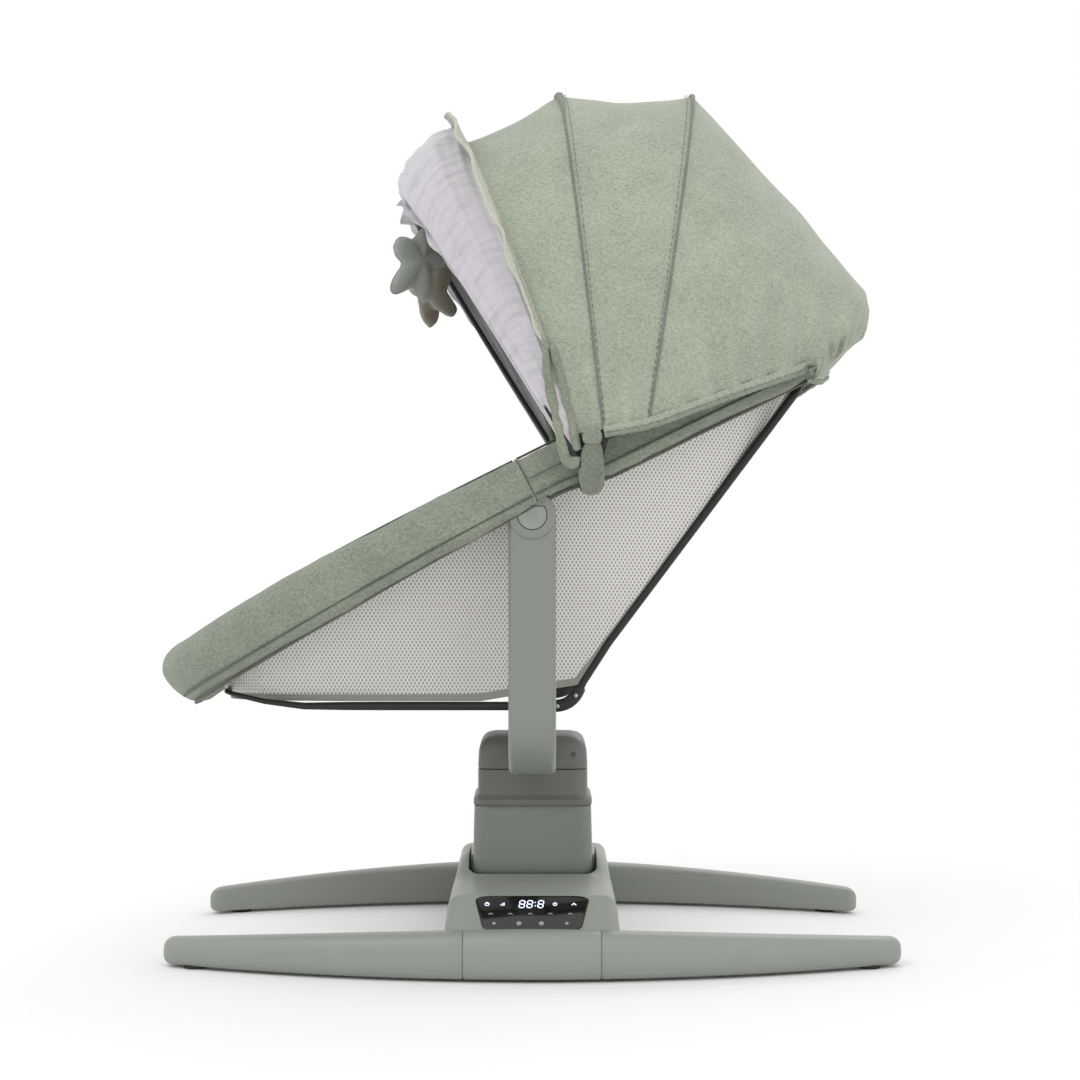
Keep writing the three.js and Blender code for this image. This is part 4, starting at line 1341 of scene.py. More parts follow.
    def panel_outline(self, grow: float) -> list[Flat]:
        """The touch panel's outline, wider at its top."""
        top, bottom, half = 0.0595 + grow, 0.0495 + grow, 0.0235 + grow
        return soften(((-bottom, -half), (bottom, -half), (top, half), (-top, half)), 0.16, 7)

    def bridge(self) -> None:
        """The bridge's shell, with its well for the tower and its panel recess."""
        near = (*spread(10, 0, 0.09), 0.12, 0.16, 0.19, 0.200, 0.204, 0.207, 0.209, 0.212, 0.22, 0.235,
                self.bridge_y)
        ys = sorted({round(s * y, 5) for s in (-1, 1) for y in near})
        shell = Shop.skin("bridge_shell", [self.bridge_ring(y) for y in ys], around=True)
        wide, deep, corner = self.well
        outline = rounded_box(wide, deep, corner, 8)
        Shop.cut(shell, Shop.slab("well_tool", outline, Matrix.Translation((0, 0, 0.042)), 0.09))
        Shop.cut(shell, Shop.slab("panel_tool", self.panel_outline(0.0005),
                                  self.panel_frame() @ Matrix.Translation((0, 0, -0.0024)), 0.02))
        Shop.bevel(shell, 0.0009, 2, 50)
        dress(Shop.smooth(shell, 38), Finish.STAND, "base", "base_bridge")
        lining = Shop.slab("well_floor", rounded_box(wide - 0.001, deep - 0.001, corner, 8),
                           Matrix.Translation((0, 0, 0.0405)), 0.0012)
        Shop.cut(lining, Shop.slab("well_hole", rounded_box(0.056, 0.03, 0.008, 6),
                                   Matrix.Translation((0, 0, 0.03)), 0.03))
        dress(lining, Finish.BLACK, "base")

    def bar_symbol(self, place: Flat, size: Flat, turn: float = 0.0) -> Piece:
        """A small raised bar on the panel.

        Args:
            place: its middle, on the panel's own axes.
            size: its length and width.
            turn: how far it is turned, in radians.

        Returns:
            The bar.
        """
        local = Matrix.Translation((*place, 0.0008)) @ Matrix.Rotation(turn, 4, "Z")
        outline = rounded_box(size[0] / 2, size[1] / 2, min(size) * 0.42, 2)
        return Shop.slab("mark", outline, self.panel_frame() @ local, 0.00018)

    def ring_symbol(self, place: Flat, radius: float, thick: float = 0.0007) -> Piece:
        """A small raised ring on the panel.

        Args:
            place: its middle, on the panel's own axes.
            radius: its radius.
            thick: how thick its line is.

        Returns:
            The ring.
        """
        Shop.deselect()
        bpy.ops.mesh.primitive_torus_add(major_radius=radius, minor_radius=thick / 2, major_segments=28,
                                         minor_segments=6)
        ring = Shop.named("mark")
        ring.data.transform(self.panel_frame() @ Matrix.Translation((*place, 0.0008))
                            @ Matrix.Diagonal((1, 1, 0.4, 1)))
        return ring

    def digit(self, centre: Flat, lit: str) -> list[Piece]:
        """One seven-segment figure; lit names its segments, a to g.

        Args:
            centre: the figure's middle, on the panel's own axes.
            lit: the segments that are lit.

        Returns:
            The segments.
        """
        wide, tall, lean = 0.0052, 0.0094, 0.0006
        spots = {"a": (0, tall / 2, 0), "g": (0, 0, 0), "d": (0, -tall / 2, 0), "f": (-wide / 2, tall / 4, 1),
                 "b": (wide / 2, tall / 4, 1), "e": (-wide / 2, -tall / 4, 1), "c": (wide / 2, -tall / 4, 1)}
        made = []
        for key in lit:
            x, y, upright = spots[key]
            size = (0.0011, tall / 2 - 0.0011) if upright else (wide - 0.0012, 0.0011)
            made.append(self.bar_symbol((centre[0] + x + lean * y / tall * 2, centre[1] + y), size, -0.06))
        return made

    def panel(self) -> None:
        """The glossy touch panel and its lit figures and symbols."""
        glass = Shop.slab("touch_panel", self.panel_outline(0),
                          self.panel_frame() @ Matrix.Translation((0, 0, -0.0018)), 0.0026, 0.0008)
        dress(glass, Finish.PANEL, "base", "control_panel")
        figures = self.digit((-0.0105, 0.0118), "abcdefg") + self.digit((-0.0025, 0.0118), "abcdefg")
        figures += self.digit((0.0088, 0.0118), "abcdefg")
        for y in (0.0095, 0.0141):
            figures.append(self.bar_symbol((0.0031, y), (0.0012, 0.0012)))
        dress(Shop.join("panel_figures", figures), Finish.LIT, "base")
        row_one, row_two, row_three = 0.0118, -0.0012, -0.0140
        bright = [self.ring_symbol((-0.0465, row_one), 0.0021), self.bar_symbol((-0.0465, row_one + 0.0015),
                                                                               (0.0008, 0.0028))]
        for k, tall in enumerate((0.0016, 0.003, 0.0042)):
            bright.append(self.bar_symbol((-0.0322 + k * 0.0016, row_one - 0.002 + tall / 2), (0.0009, tall)))
        bright += [self.ring_symbol((0.0235, row_one), 0.0019),
                   self.bar_symbol((0.0235, row_one + 0.0004), (0.0006, 0.0018)),
                   self.bar_symbol((0.0420, row_one), (0.0038, 0.0009), 0.8),
                   self.bar_symbol((0.0440, row_one), (0.0038, 0.0009), -0.8)]
        dress(Shop.join("panel_lit_symbols", bright), Finish.LIT, "base")
        faint = []
        for x in (-0.0425, -0.0225, -0.002, 0.0185, 0.039):
            faint += [self.bar_symbol((x - 0.0012, row_two), (0.0026, 0.0007), 0.7),
                      self.bar_symbol((x + 0.0012, row_two), (0.0026, 0.0007), -0.7)]
        for x in (-0.039, 0.0355):
            faint += [self.bar_symbol((x, row_three), size) for size in ((0.004, 0.0009), (0.0009, 0.004))]
        for x in (-0.0135, 0.0095):
            faint += [self.ring_symbol((x, row_three), 0.0021), self.ring_symbol((x, row_three), 0.0009)]
        dress(Shop.join("panel_faint_symbols", faint), Finish.FAINT, "base")

    def build(self) -> None:
        """Makes the whole stand."""
        self.feet()
        self.bridge()
        self.panel()
        Shop.deselect()
        low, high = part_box("power_inlet")
        middle = (low + high) / 2
        bpy.ops.mesh.primitive_torus_add(major_radius=0.0052, minor_radius=0.0018, major_segments=32,
                                         minor_segments=12)
        socket = Shop.named("power_socket")
        socket.data.transform(Matrix.Translation((high.x - 0.0012, middle.y, middle.z)) @ Matrix.Rotation(
            math.pi / 2, 4, "Y"))
        dress(Shop.smooth(socket), Finish.BLACK, "base")
        repaint(Finish.BLACK, "power_inlet", "speaker")
        repaint(Finish.STAND, "base_plate")
        repaint(Finish.BOARD, "circuit_board")
        repaint(Finish.COPPER, "drive_coil")
        repaint(Finish.STEEL, "axle_bracket_foot", "axle_bracket_head", "sway_axle", "sway_spring_foot",
                "sway_spring_head")


# ---------------------------------------------------------------- tower and yoke


@dataclass
class SwayTower:
    """The swaying housing, its cap and the two-armed yoke."""

    half_x: Flat = (0.0665, 0.0645)
    half_y: float = 0.060
    z: Flat = (0.076, 0.154)
    corner: float = 0.014
    cap_z: tuple[float, float, float] = (0.154, 0.195, 0.230)
    cap_x: float = 0.0605
    skirt: float = 0.005
    arm_y: float = 0.225
    arm_z: float = 0.211
    arm_wide: float = 0.049
    arm_thick: float = 0.022
    arm_bend: float = 0.056
    hub_z: float = 0.4723
    hub_r: float = 0.0245
    button_r: float = 0.015
    button_flat: float = 0.009
    button_out: float = 0.2372
    button_thick: float = 0.0065
    pocket_deep: float = 0.011

    def column(self, name: str, rows: Outline, half: Flat,
               corner: float) -> Piece:
        """A rounded column through rows of (height, growth).

        Args:
            name: the piece's name.
            rows: the heights, each with how much wider the column is there.
            half: its half sizes.
            corner: radius of its corners.

        Returns:
            The column.
        """
        rings = [[Vector((x, y, z))
                  for x, y in rounded_box(half[0] + out, half[1] + out, corner + out * 0.6, 8)]
                 for z, out in rows]
        return Shop.smooth(Shop.skin(name, rings, around=True), 34)

    def housing(self) -> None:
        """The housing that sways in the bridge's well."""
        low, high = self.z
        drop = self.half_x[0] - self.half_x[1]
        rows = [(low, -0.007), (low + 0.0012, -0.0035), (low + 0.0035, -0.0012), (low + 0.008, 0)]
        rows += [(z, -drop * (z - low) / (high - low)) for z in spread(6, low + 0.02, high)]
        body = self.column("tower_shell", rows, (self.half_x[0], self.half_y), self.corner)
        dress(body, Finish.TOWER, "tower", "tower_housing")

    def cap(self) -> None:
        """The cap in its two parts, with a screw on the front."""
        skirt, split, top = self.cap_z
        half = (self.cap_x, self.half_y - 0.002)
        lower_rows = [(skirt + 0.0004, self.skirt - 0.002), (skirt + 0.0012, self.skirt - 0.0004),
                      (skirt + 0.0025, self.skirt), (skirt + 0.0075, self.skirt - 0.0002),
                      (skirt + 0.0095, self.skirt * 0.62), (skirt + 0.0115, self.skirt * 0.2),
                      (skirt + 0.0135, 0),
                      (split - 0.0018, 0), (split - 0.0008, -0.0007), (split - 0.0007, -0.004)]
        upper_rows = [(split - 0.0002, -0.004), (split, -0.0007), (split + 0.0012, 0), (top - 0.016, -0.0008),
                      (top - 0.011, -0.0018), (top - 0.007, -0.0036), (top - 0.0036, -0.0066),
                      (top - 0.0012, -0.0108),
                      (top, -0.0165)]
        for name, rows in (("cap_lower", lower_rows), ("cap_upper", upper_rows)):
            shell = self.column(f"{name}_shell", rows, half, self.corner + 0.002)
            dress(shell, Finish.CAP, "tower", name)
        for side in (-1, 1):
            face = side * (half[1] - 0.0006)
            head = Vector((0.045, face, 0.211))
            screw = Shop.disc(f"cap_screw_{'front' if side < 0 else 'back'}", 0.0028, head,
                              head + Y_AXIS * side * 0.0009, 0.0003, 24)
            dress(screw, Finish.DARK_GREY, "tower")

    def section(self) -> list[Flat]:
        """The arm's section: rounded, with its two long edges rolled up a little on the outer face.

        Returns:
            The section.
        """
        wide, thick, r = self.arm_wide / 2, self.arm_thick / 2, 0.0068
        made = []
        for x, y in rounded_box(wide, thick, r, 7):
            inside = ease(wide - abs(x), 0.005, 0.0105)
            made.append((x, y - math.copysign(0.0011, y) * inside if abs(y) > thick * 0.9 else y))
        count = 8
        full = []
        for (x0, y0), (x1, y1) in zip(made, made[1:] + made[:1]):
            full.append((x0, y0))
            if abs(x1 - x0) > wide:
                for k in range(1, count):
                    x = x0 + (x1 - x0) * k / count
                    sign = math.copysign(1, y0)
                    full.append((x, sign * (thick - 0.0011 * ease(wide - abs(x), 0.005, 0.0105))))
        return full

    def arm(self, name: str, side: int) -> None:
        """One arm of the yoke with its hub and the recline button.

        Args:
            name: left or right.
            side: which side it is on.
        """
        corners = [Vector((0, side * 0.03, self.arm_z)), Vector((0, side * self.arm_y, self.arm_z)),
                   Vector((0, side * self.arm_y, self.hub_z))]
        line = filleted(corners, self.arm_bend, 18)
        bar = Shop.bar(f"arm_{name}_bar", line, self.section(), X_AXIS)
        inner = Vector((0, side * (self.arm_y - self.arm_thick / 2 - 0.001), self.hub_z))
        outer = Vector((0, side * (self.arm_y + self.arm_thick / 2 + 0.001), self.hub_z))
        hub = Shop.disc(f"arm_{name}_hub", self.hub_r, inner, outer, 0.0016, 64)
        turn = Matrix.Translation((0, outer.y, self.hub_z)) @ Matrix.Rotation(math.pi / 2, 4, "X")
        for piece in (bar, hub):
            pocket = Shop.slab("pocket_tool", self.button_outline(0.0006),
                               turn @ Matrix.Translation((0, 0, -self.pocket_deep)), 2 * self.pocket_deep)
            Shop.cut(piece, pocket)
            dress(Shop.smooth(piece, 34), Finish.ARM, "tower", f"arm_{name}")
        floor = self.button_out - self.button_thick
        turn = Matrix.Rotation(side * -math.pi / 2, 4, "X")
        place = Matrix.Translation((0, side * floor, self.hub_z)) @ turn
        flipped = [(x, -side * y) for x, y in self.button_outline(0)]
        button = Shop.slab(f"button_{name}", flipped, place, self.button_thick, 0.0012)
        dress(button, Finish.STAND, f"recline_button_{name}", f"recline_button_{name}")
        for k in (-1, 0, 1):
            y0 = side * (self.button_out - 0.0002)
            low = Vector((k * 0.0045, y0, self.hub_z - 0.008))
            high = Vector((k * 0.0045, y0, self.hub_z + 0.004))
            rib = Shop.disc(f"button_{name}_rib_{k + 2}", 0.0006, low, high, 0.0002, 10)
            dress(rib, Finish.STAND, f"recline_button_{name}")

    def button_outline(self, grow: float) -> list[Flat]:
        """A round button with a straight top: y is up.

        Args:
            grow: how much larger than the button.

        Returns:
            The outline.
        """
        radius, flat = self.button_r + grow, self.button_flat + grow
        start = math.asin(flat / radius)
        made = [(radius * math.cos(a), radius * math.sin(a))
                for a in spread(40, math.pi - start, math.tau + start)]
        return made

    def build(self) -> None:
        """Makes the tower and its yoke."""
        self.housing()
        self.cap()
        for name, side in SIDES.items():
            self.arm(name, side)
        repaint(Finish.BLACK, "tower_core")
        repaint(Finish.STEEL, "drive_magnet", "recline_pin_left", "recline_pin_right")


# ---------------------------------------------------------------- seat


@dataclass
class Padding:
    """Inflates stuffed pieces with Blender's cloth solver."""

    voxel: float = 0.005
    pressure: float = 4.0
    frames: int = 20

    def puff(self, piece: Piece, limit: float) -> None:
        """Remeshes a closed shape, swells it and keeps the result.

        Args:
            piece: the closed shape, a little smaller than the finished one.
            limit: how far any point may move.
        """
        Shop.apply(piece, "REMESH", mode="VOXEL", voxel_size=self.voxel)
        before = [v.co.copy() for v in piece.data.vertices]
        cloth = piece.modifiers.new("puff", "CLOTH")
        cloth.settings.use_pressure = True
        cloth.settings.uniform_pressure_force = self.pressure
        cloth.settings.quality = 5
        cloth.settings.effector_weights.gravity = 0
        scene = bpy.context.scene
        for step in range(1, self.frames + 1):
            scene.frame_set(step)
        Shop.pick(piece)
        bpy.ops.object.modifier_apply(modifier=cloth.name)
        scene.frame_set(1)
        for vertex, start in zip(piece.data.vertices, before):
            travel = vertex.co - start
            if travel.length > limit:
                vertex.co = start + travel.normalized() * limit
        Shop.apply(piece, "SUBSURF", levels=1, render_levels=1)


@dataclass
class Seat:
    """The reclining seat: padded rim, hanging mesh bucket, liner, lower frame and harness."""

    rim: Rim
    cradle: Cradle
    padding: Padding
    inner: float = 0.0145
    side: float = 0.045
    end: float = 0.033
    foot_half: float = 0.033
    head_half: float = 0.027
    head_drop: float = 0.0095
    slant: float = 0.022
    split_x: float = -0.006
    split_gap: float = 0.0006
    wall: float = 0.0016
    welt_r: float = 0.0034
    welt_out: float = -0.0180
    welt_up: float = 0.0016
    tube_r: float = 0.0047
    tube_lift: float = 0.0080
    hub_z: float = 0.4723
    hub_faces: Flat = (0.2124, 0.2378)
    hub_r: float = 0.0262
    arm_wide: float = 0.0525
    arm_room: Flat = (13, 9)
    pad_top: float = 0.0344
    hinge: Flat = (0.060, 0.505)
    slope: float = math.atan2(0.340, 0.255)

    def half_at(self, angle: float) -> float:
        """Half the padded band's height round the rim."""
        t = ease(self.rim.point(angle).x, -0.33, 0.024)
        return self.foot_half + (self.head_half - self.foot_half) * t

    def band_section(self, angle: float, half: float, shrink: float = 1.0) -> list[Flat]:
        """The padded band's smooth section at an angle round the rim: out and up.

        Args:
            angle: round the rim.
            half: half the band's height.
            shrink: how much it is drawn in.

        Returns:
            The section.
        """
        out = self.end + (self.side - self.end) * abs(math.sin(angle))
        inner = self.inner
        low = half + self.head_drop * ease(self.rim.point(angle).x, 0.015, 0.07) * abs(math.sin(angle))
        slant = self.slant * abs(math.cos(angle)) ** 3
        points = ((-inner, -low * 0.72), (-inner * 0.3, -low * 0.96), (out * 0.62 - slant * 0.8, -low),
                  (out * 0.95 - slant * 0.7, -low * 0.8), (out - slant * 0.25, -half * 0.2),
                  (out * 0.95, half * 0.5), (out * 0.6, half * 0.93), (0, half),
                  (-inner, half * 0.6), (-inner - 0.002, 0))
        return [(a * shrink, b * shrink) for a, b in smooth_outline(points, 40)]

    def band(self, name: str, low: float, high: float, count: int, seed: float) -> Piece:
        """A length of the padded band with pinched ends, soft creases and room for the yoke.

        Args:
            name: the piece's name.
            low: the angle that it starts at.
            high: the angle that it ends at.
            count: rows in it.
            seed: makes its creases its own.

        Returns:
            The band.
        """
        rows = []
        for i, angle in enumerate(spread(count, low, high)):
            edge = min(i, count - i)
            shrink = 1.0 if edge > 3 else (0.965, 0.982, 0.993, 0.998)[edge]
            near_hub = 1 - ease(abs(self.rim.point(angle).x), 0.03, 0.14)
            row = []
            for out, up in self.band_section(angle, self.half_at(angle), shrink):
                p = self.rim.point(angle, out, up)
                swell = wrinkle(p, 9, 0.0028, seed) + wrinkle(p, 34, 0.0012, seed)
                swell += near_hub * wrinkle(Vector((p.x * 3, p.y, p.z * 0.8)), 42, 0.0022, seed + 4)
                seat = self.rim.point(angle)
                row.append(p + (p - seat).normalized() * (swell - 0.0009))
            rows.append(row)
        piece = Shop.skin(name, rows, around=True)
        for s in (-1, 1):
            faces = (s * self.hub_faces[0], s * self.hub_faces[1])
            ends = (Vector((0, face, self.hub_z)) for face in faces)
            hub = Shop.disc("hub_tool", self.hub_r, *ends, 0)
            Shop.cut(piece, hub)
            half, deep = self.arm_wide / 2, 0.1
            head, foot = (half * math.cos(a) + deep * math.sin(a) for a in map(math.radians, self.arm_room))
            outline = [(half, 0.004), (-half, 0.004), (-foot, -deep), (head, -deep)]
            place = Matrix.Translation((0, max(faces), self.hub_z)) @ Matrix.Rotation(math.pi / 2, 4, "X")
            tool = Shop.slab("arm_tool", outline, place, abs(faces[1] - faces[0]))
            Shop.cut(piece, tool)
        return Shop.smooth(piece, 42)

    def edge_line(self, low: float, high: float, share: Flat, count: int) -> list[Vector]:
        """A line along the padded band's skin, at a share of its width and height.

        Args:
            low: the angle that it starts at.
            high: the angle that it ends at.
            share: where it lies: shares of the band's width and of its half height.
            count: steps in it.

        Returns:
            The line.
        """
        made = []
        for angle in spread(count, low, high):
            out = self.end + (self.side - self.end) * abs(math.sin(angle))
            half = self.half_at(angle)
            if share[1] < 0:
                half += self.head_drop * ease(self.rim.point(angle).x, 0.015, 0.07) * abs(math.sin(angle))
                out -= self.slant * abs(math.cos(angle)) ** 3 * (0.8 if share[1] < -0.9 else 0.6)
            made.append(self.rim.point(angle, out * share[0], half * share[1]))
        return made

    def rim_band(self) -> None:
        """Both lengths of the rim's padded cover, their piping and the stitched seams."""
        split = self.rim.angle_at(self.split_x)
        gap = self.split_gap / 2 / self.rim.long
        lengths = (("foot", split + gap, math.tau - split - gap, 150, 1.0),
                   ("head", -split + gap, split - gap, 130, 5.0))
        for name, low, high, count, seed in lengths:
            band = self.band(f"rim_band_{name}", low, high, count, seed)
            dress(band, Finish.RIM, "seat", f"rim_cover_{name}")
            for line_name, share, finish, radius in (("lower_piping", (0.80, -0.955), Finish.PIPING, 0.0019),
                                                     ("lower_seam", (1.012, -0.58), Finish.PIPING, 0.0013),
                                                     ("upper_piping", (-0.12, 1.0), Finish.PIPING, 0.0012),
                                                     ("stitching", (0.985, 0.05), Finish.PIPING, 0.00055)):
                if name == "foot" and line_name == "stitching":
                    continue
                line = self.edge_line(low + 0.004, high - 0.004, share, count)
                tube = Shop.bar(f"rim_{name}_{line_name}", line, circle(radius, 8), Z_AXIS)
                dress(Shop.smooth(tube, 60), finish, "seat")
        for side_name, side in SIDES.items():
            line = [self.rim.point(side * split, out * 1.0, up)
                    for out, up in self.band_section(split, self.half_at(split), 0.955)[10:32]]
            seam = Shop.bar(f"rim_seam_{side_name}", line, circle(0.0009, 8), X_AXIS)
            dress(Shop.smooth(seam, 60), Finish.PIPING, "seat")

    def bucket(self) -> None:
        """The mesh bowl, its bindings and its tapes over the lower frame."""
        rows = self.cradle.rings(0.0, 0.02, belly=0.004)
        shell = Shop.skin("mesh_bowl", rows, around=True, cap=False)
        self.lattice_map(shell)
        Shop.thicken(shell, self.wall, 1.0)
        dress(Shop.smooth(shell, 60), Finish.MESH, "seat", "seat_bucket")
        count = 120
        angles = [math.tau * i / count for i in range(count)]
        rows = []
        for a in angles:
            rows.append([self.rim.point(a, self.welt_out + self.welt_r * x, self.welt_up + self.welt_r * y)
                         for x, y in circle(1, 10)])
        welt = Shop.skin("bowl_welt", rows, around=True, along=True)
        dress(Shop.smooth(welt, 60), Finish.RIM, "seat")
        flat = [(-0.0016, -0.0042), (0.0016, -0.0042), (0.0019, 0), (0.0016, 0.0042), (-0.0016, 0.0042),
                (-0.0019, 0)]
        narrow = [(-0.001, -0.0011), (0.001, -0.0011), (0.001, 0.0011), (-0.001, 0.0011)]
        for name, lift, out, section, finish in (("binding", -0.001, 0.0012, flat, Finish.BINDING),
                                                 ("dark_edge", 0.0058, 0.0014, narrow, Finish.DARK_TAPE)):
            line = [self.cradle.floor(a, -out, self.cradle.lift + lift) for a in angles]
            rows = []
            for i, p in enumerate(line):
                along = heading(line, i, True)
                up = Vector((-0.3, 0, 1)) if p.x > 0.06 else Z_AXIS
                side = along.cross(up).normalized()
                top = side.cross(along)
                rows.append([p + side * a + top * b for a, b in section])
            strip = Shop.skin(f"bowl_{name}", rows, around=True, along=True)
            dress(Shop.smooth(strip, 60), finish, "seat")

    def lattice_map(self, shell: Piece) -> None:
        """Lays the mesh's pattern flat along x and up the walls.

        Args:
            shell: the bowl.
        """
        uv = shell.data.uv_layers.active.data
        for loop in shell.data.loops:
            p = shell.data.vertices[loop.vertex_index].co
            across = p.x + 0.8 * abs(p.y) * (1 if abs(p.x) > 0.3 else 0)
            uv[loop.index].uv = (across, p.z + p.y * 0.15 + abs(p.y) * 0.1)

    def lifted(self, distance: float) -> float:
        """How far the visible tube sits above the frame's line: tucked up at the foot and behind the back.

        Args:
            distance: how far along the frame's line.

        Returns:
            The height.
        """
        foot = 1 - ease(distance, 0.0, 0.07)
        back = ease(distance, self.cradle.first - 0.005, self.cradle.first + 0.06)
        return self.tube_lift * (back + foot * 1.9)

    def lower_tubes(self) -> None:
        """The lower frame's tubes, moulded corners and rivets."""
        first, total, half = self.cradle.first, self.cradle.total, self.cradle.half
        round_r = 0.018
        sides = {}
        for side in (-1, 1):
            stops = [*spread(8, 0.0, first - 0.03), *spread(10, first - 0.026, first + 0.026),
                     *spread(8, first + 0.03, total)]
            sides[side] = [self.cradle.place(d, self.lifted(d), side * half) for d in stops]
        left, right = sides[-1], sides[1]
        loop = self.rounded_end(left[::-1], right, round_r) + right[1:-1]
        loop += self.rounded_end(right, left[::-1], round_r) + left[::-1][1:-1]
        rows = []
        count = len(loop)
        for i, p in enumerate(loop):
            along = heading(loop, i, True)
            normal = Vector((-0.3, 0, 1)) if p.x > 0.05 else Z_AXIS
            across = along.cross(normal).normalized()
            up = across.cross(along)
            thin = 0.55 + 0.45 * ease(p.x, self.cradle.foot[0], self.cradle.foot[0] + 0.16)
            rows.append([p + across * a * thin + up * b * thin for a, b in circle(self.tube_r, 20)])
        tube = Shop.skin("lower_tubes", rows, around=True, along=True)
        dress(Shop.smooth(tube, 60), Finish.TUBE, "seat", "lower_frame")
        for name, side in SIDES.items():
            line = [self.cradle.place(d, self.lifted(d), side * half)
                    for d in spread(16, first - 0.022, first + 0.024)]
            flared = []
            for i, p in enumerate(line):
                along = heading(line, i)
                up = along.cross(Y_AXIS)
                radius = self.tube_r + (0.0008 if i in (0, 16) else 0.0020)
                flared.append([p + Y_AXIS * a + up * b for a, b in circle(radius, 24)])
            corner = Shop.skin(f"corner_{name}", flared, around=True)
            Shop.bevel(corner, 0.0006)
            dress(Shop.smooth(corner, 50), Finish.BLACK, "seat", f"frame_corner_{name}")
            for k, d in enumerate((first - 0.013, first + 0.013)):
                p = self.cradle.place(d, self.lifted(d), side * (half + self.tube_r + 0.0016))
                rivet = Shop.disc(f"corner_{name}_rivet_{k + 1}", 0.0022, p, p + Y_AXIS * side * 0.0012,
                                  0.0005, 20)
                dress(rivet, Finish.STEEL, "seat")

    @staticmethod
    def rounded_end(incoming: Sequence[Vector], outgoing: Sequence[Vector], radius: float) -> list[Vector]:
        """The frame's crossbar between its two sides, with a rounded corner at each."""
        return filleted([*incoming[-2:], *outgoing[:2]], radius, 8)[1:-1]

    def liner(self) -> None:
        """The padded liner, sewn in channels, and the head pillow."""
        offset, thick = 0.0086, 0.0115
        outer = self.cradle.rings(offset, 0.12, belly=0.003)
        inner = self.cradle.rings(offset + thick, 0.12, belly=0.003)
        count = len(inner[0])
        for r, row in enumerate(inner):
            for i in range(count):
                channel = abs(math.sin(math.pi * 12 * i / count + 0.2)) ** 0.45
                across = abs(math.sin(math.pi * (r + 0.4) / 4.6)) ** 0.45
                puff = 0.0042 * channel * across
                over = inner[-1][i].lerp(inner[0][i], 0.35) + Vector((0.02, 0, 0.12))
                row[i] = row[i] + (over - row[i]).normalized() * (puff - 0.003)
        rows = outer[::-1] + inner
        liner = Shop.skin("padded_liner", rows, around=True, cap=False)
        Shop.apply(liner, "SUBSURF", levels=1, render_levels=1)
        dress(Shop.smooth(liner, 70), Finish.LINER, "seat", "seat_liner")
        Shop.deselect()
        bpy.ops.mesh.primitive_uv_sphere_add(segments=48, ring_count=24, radius=1)
        pillow = Shop.named("soft_pillow")
        middle = self.cradle.place(self.cradle.first + 0.255, self.pad_top + 0.017)
        for v in pillow.data.vertices:
            x, y, z = v.co
            waist = 1 - 0.16 * math.exp(-((y / 0.33) ** 2)) * abs(x)
            v.co = Vector((squared(x, 2.6) * 0.069 * waist, squared(y, 2.6) * 0.075,
                           z * 0.0105 * (1 - 0.35 * math.exp(-((x / 0.4) ** 2 + (y / 0.4) ** 2)))))
        pillow.data.transform(Matrix.Translation(middle) @ Matrix.Rotation(-self.slope, 4, "Y"))
        self.padding.puff(pillow, 0.004)
        dress(Shop.smooth(pillow, 70), Finish.LINER, "seat", "head_pillow")

    def tape(self, name: str, points: Sequence[Vector], wide: float, thick: float) -> Piece:
        """A flat webbing strap with softened edges along points.

        Args:
            name: the piece's name.
            points: where it runs.
            wide: its width.
            thick: its thickness.

        Returns:
            The strap.
        """
        shape = ((-1, -0.5), (-0.94, -1), (0, -1), (0.94, -1), (1, -0.5), (1, 0.5), (0.94, 1), (0, 1.1),
                 (-0.94, 1), (-1, 0.5))
        section = [(a * wide / 2, b * thick / 2) for a, b in shape]
        strap = Shop.bar(name, smooth_line(points, 40), section, Y_AXIS)
        return Shop.smooth(strap, 50)

    def harness(self) -> None:
        """Shoulder straps with pads, the crotch strap, and the buckle with its release button."""
        pad = self.pad_top
        first = self.cradle.first
        buckle = Vector((-0.022, 0, 0.352))
        pad_shape = smooth_outline(((-1, 0), (-0.8, 0.8), (0, 1), (0.8, 0.8), (1, 0), (0.8, -0.6), (0, -0.6),
                                    (-0.8, -0.6)), 24)
        for name, side in SIDES.items():
            start = self.cradle.place(first + 0.150, pad + 0.004, side * 0.046)
            down = self.cradle.place(first + 0.060, pad + 0.014, side * 0.036)
            end = buckle + Vector((0.024, side * 0.017, -0.002))
            strap = self.tape(f"harness_strap_{name}", [start, down, end], 0.024, 0.0018)
            dress(strap, Finish.WEBBING, "seat", f"shoulder_strap_{name}")
            line = smooth_line([start.lerp(down, 0.25) + Vector((-0.002, 0, 0.003)),
                                down + Vector((-0.001, 0, 0.0035)),
                                down.lerp(end, 0.3) + Vector((0, 0, 0.003))], 24)
            rows = []
            for i, p in enumerate(line):
                up = heading(line, i).cross(Y_AXIS)
                round_end = math.sqrt(max(0.05, 1 - (abs(i - 12) / 12) ** 4))
                rows.append([p + Y_AXIS * a * 0.0165 * round_end + up * b * 0.0042 * round_end
                             for a, b in pad_shape])
            cushion = Shop.skin(f"strap_pad_{name}", rows, around=True)
            dress(Shop.smooth(cushion, 70), Finish.RIM, "seat")
        level = self.cradle.foot[1] + pad
        low = Vector((-0.078, 0, level + 0.0025))
        bow = Vector((-0.062, 0, level + 0.022))
        end = buckle + Vector((-0.021, 0, 0.002))
        crotch = self.tape("harness_crotch_strap", [low, bow, end], 0.030, 0.0018)
        dress(crotch, Finish.WEBBING, "seat", "crotch_strap")
        tilt = Matrix.Translation(buckle) @ Matrix.Rotation(math.radians(12), 4, "Y")
        outline = soften(((-0.022, -0.0175), (0.022, -0.023), (0.022, 0.023), (-0.022, 0.0175)), 0.28, 7)
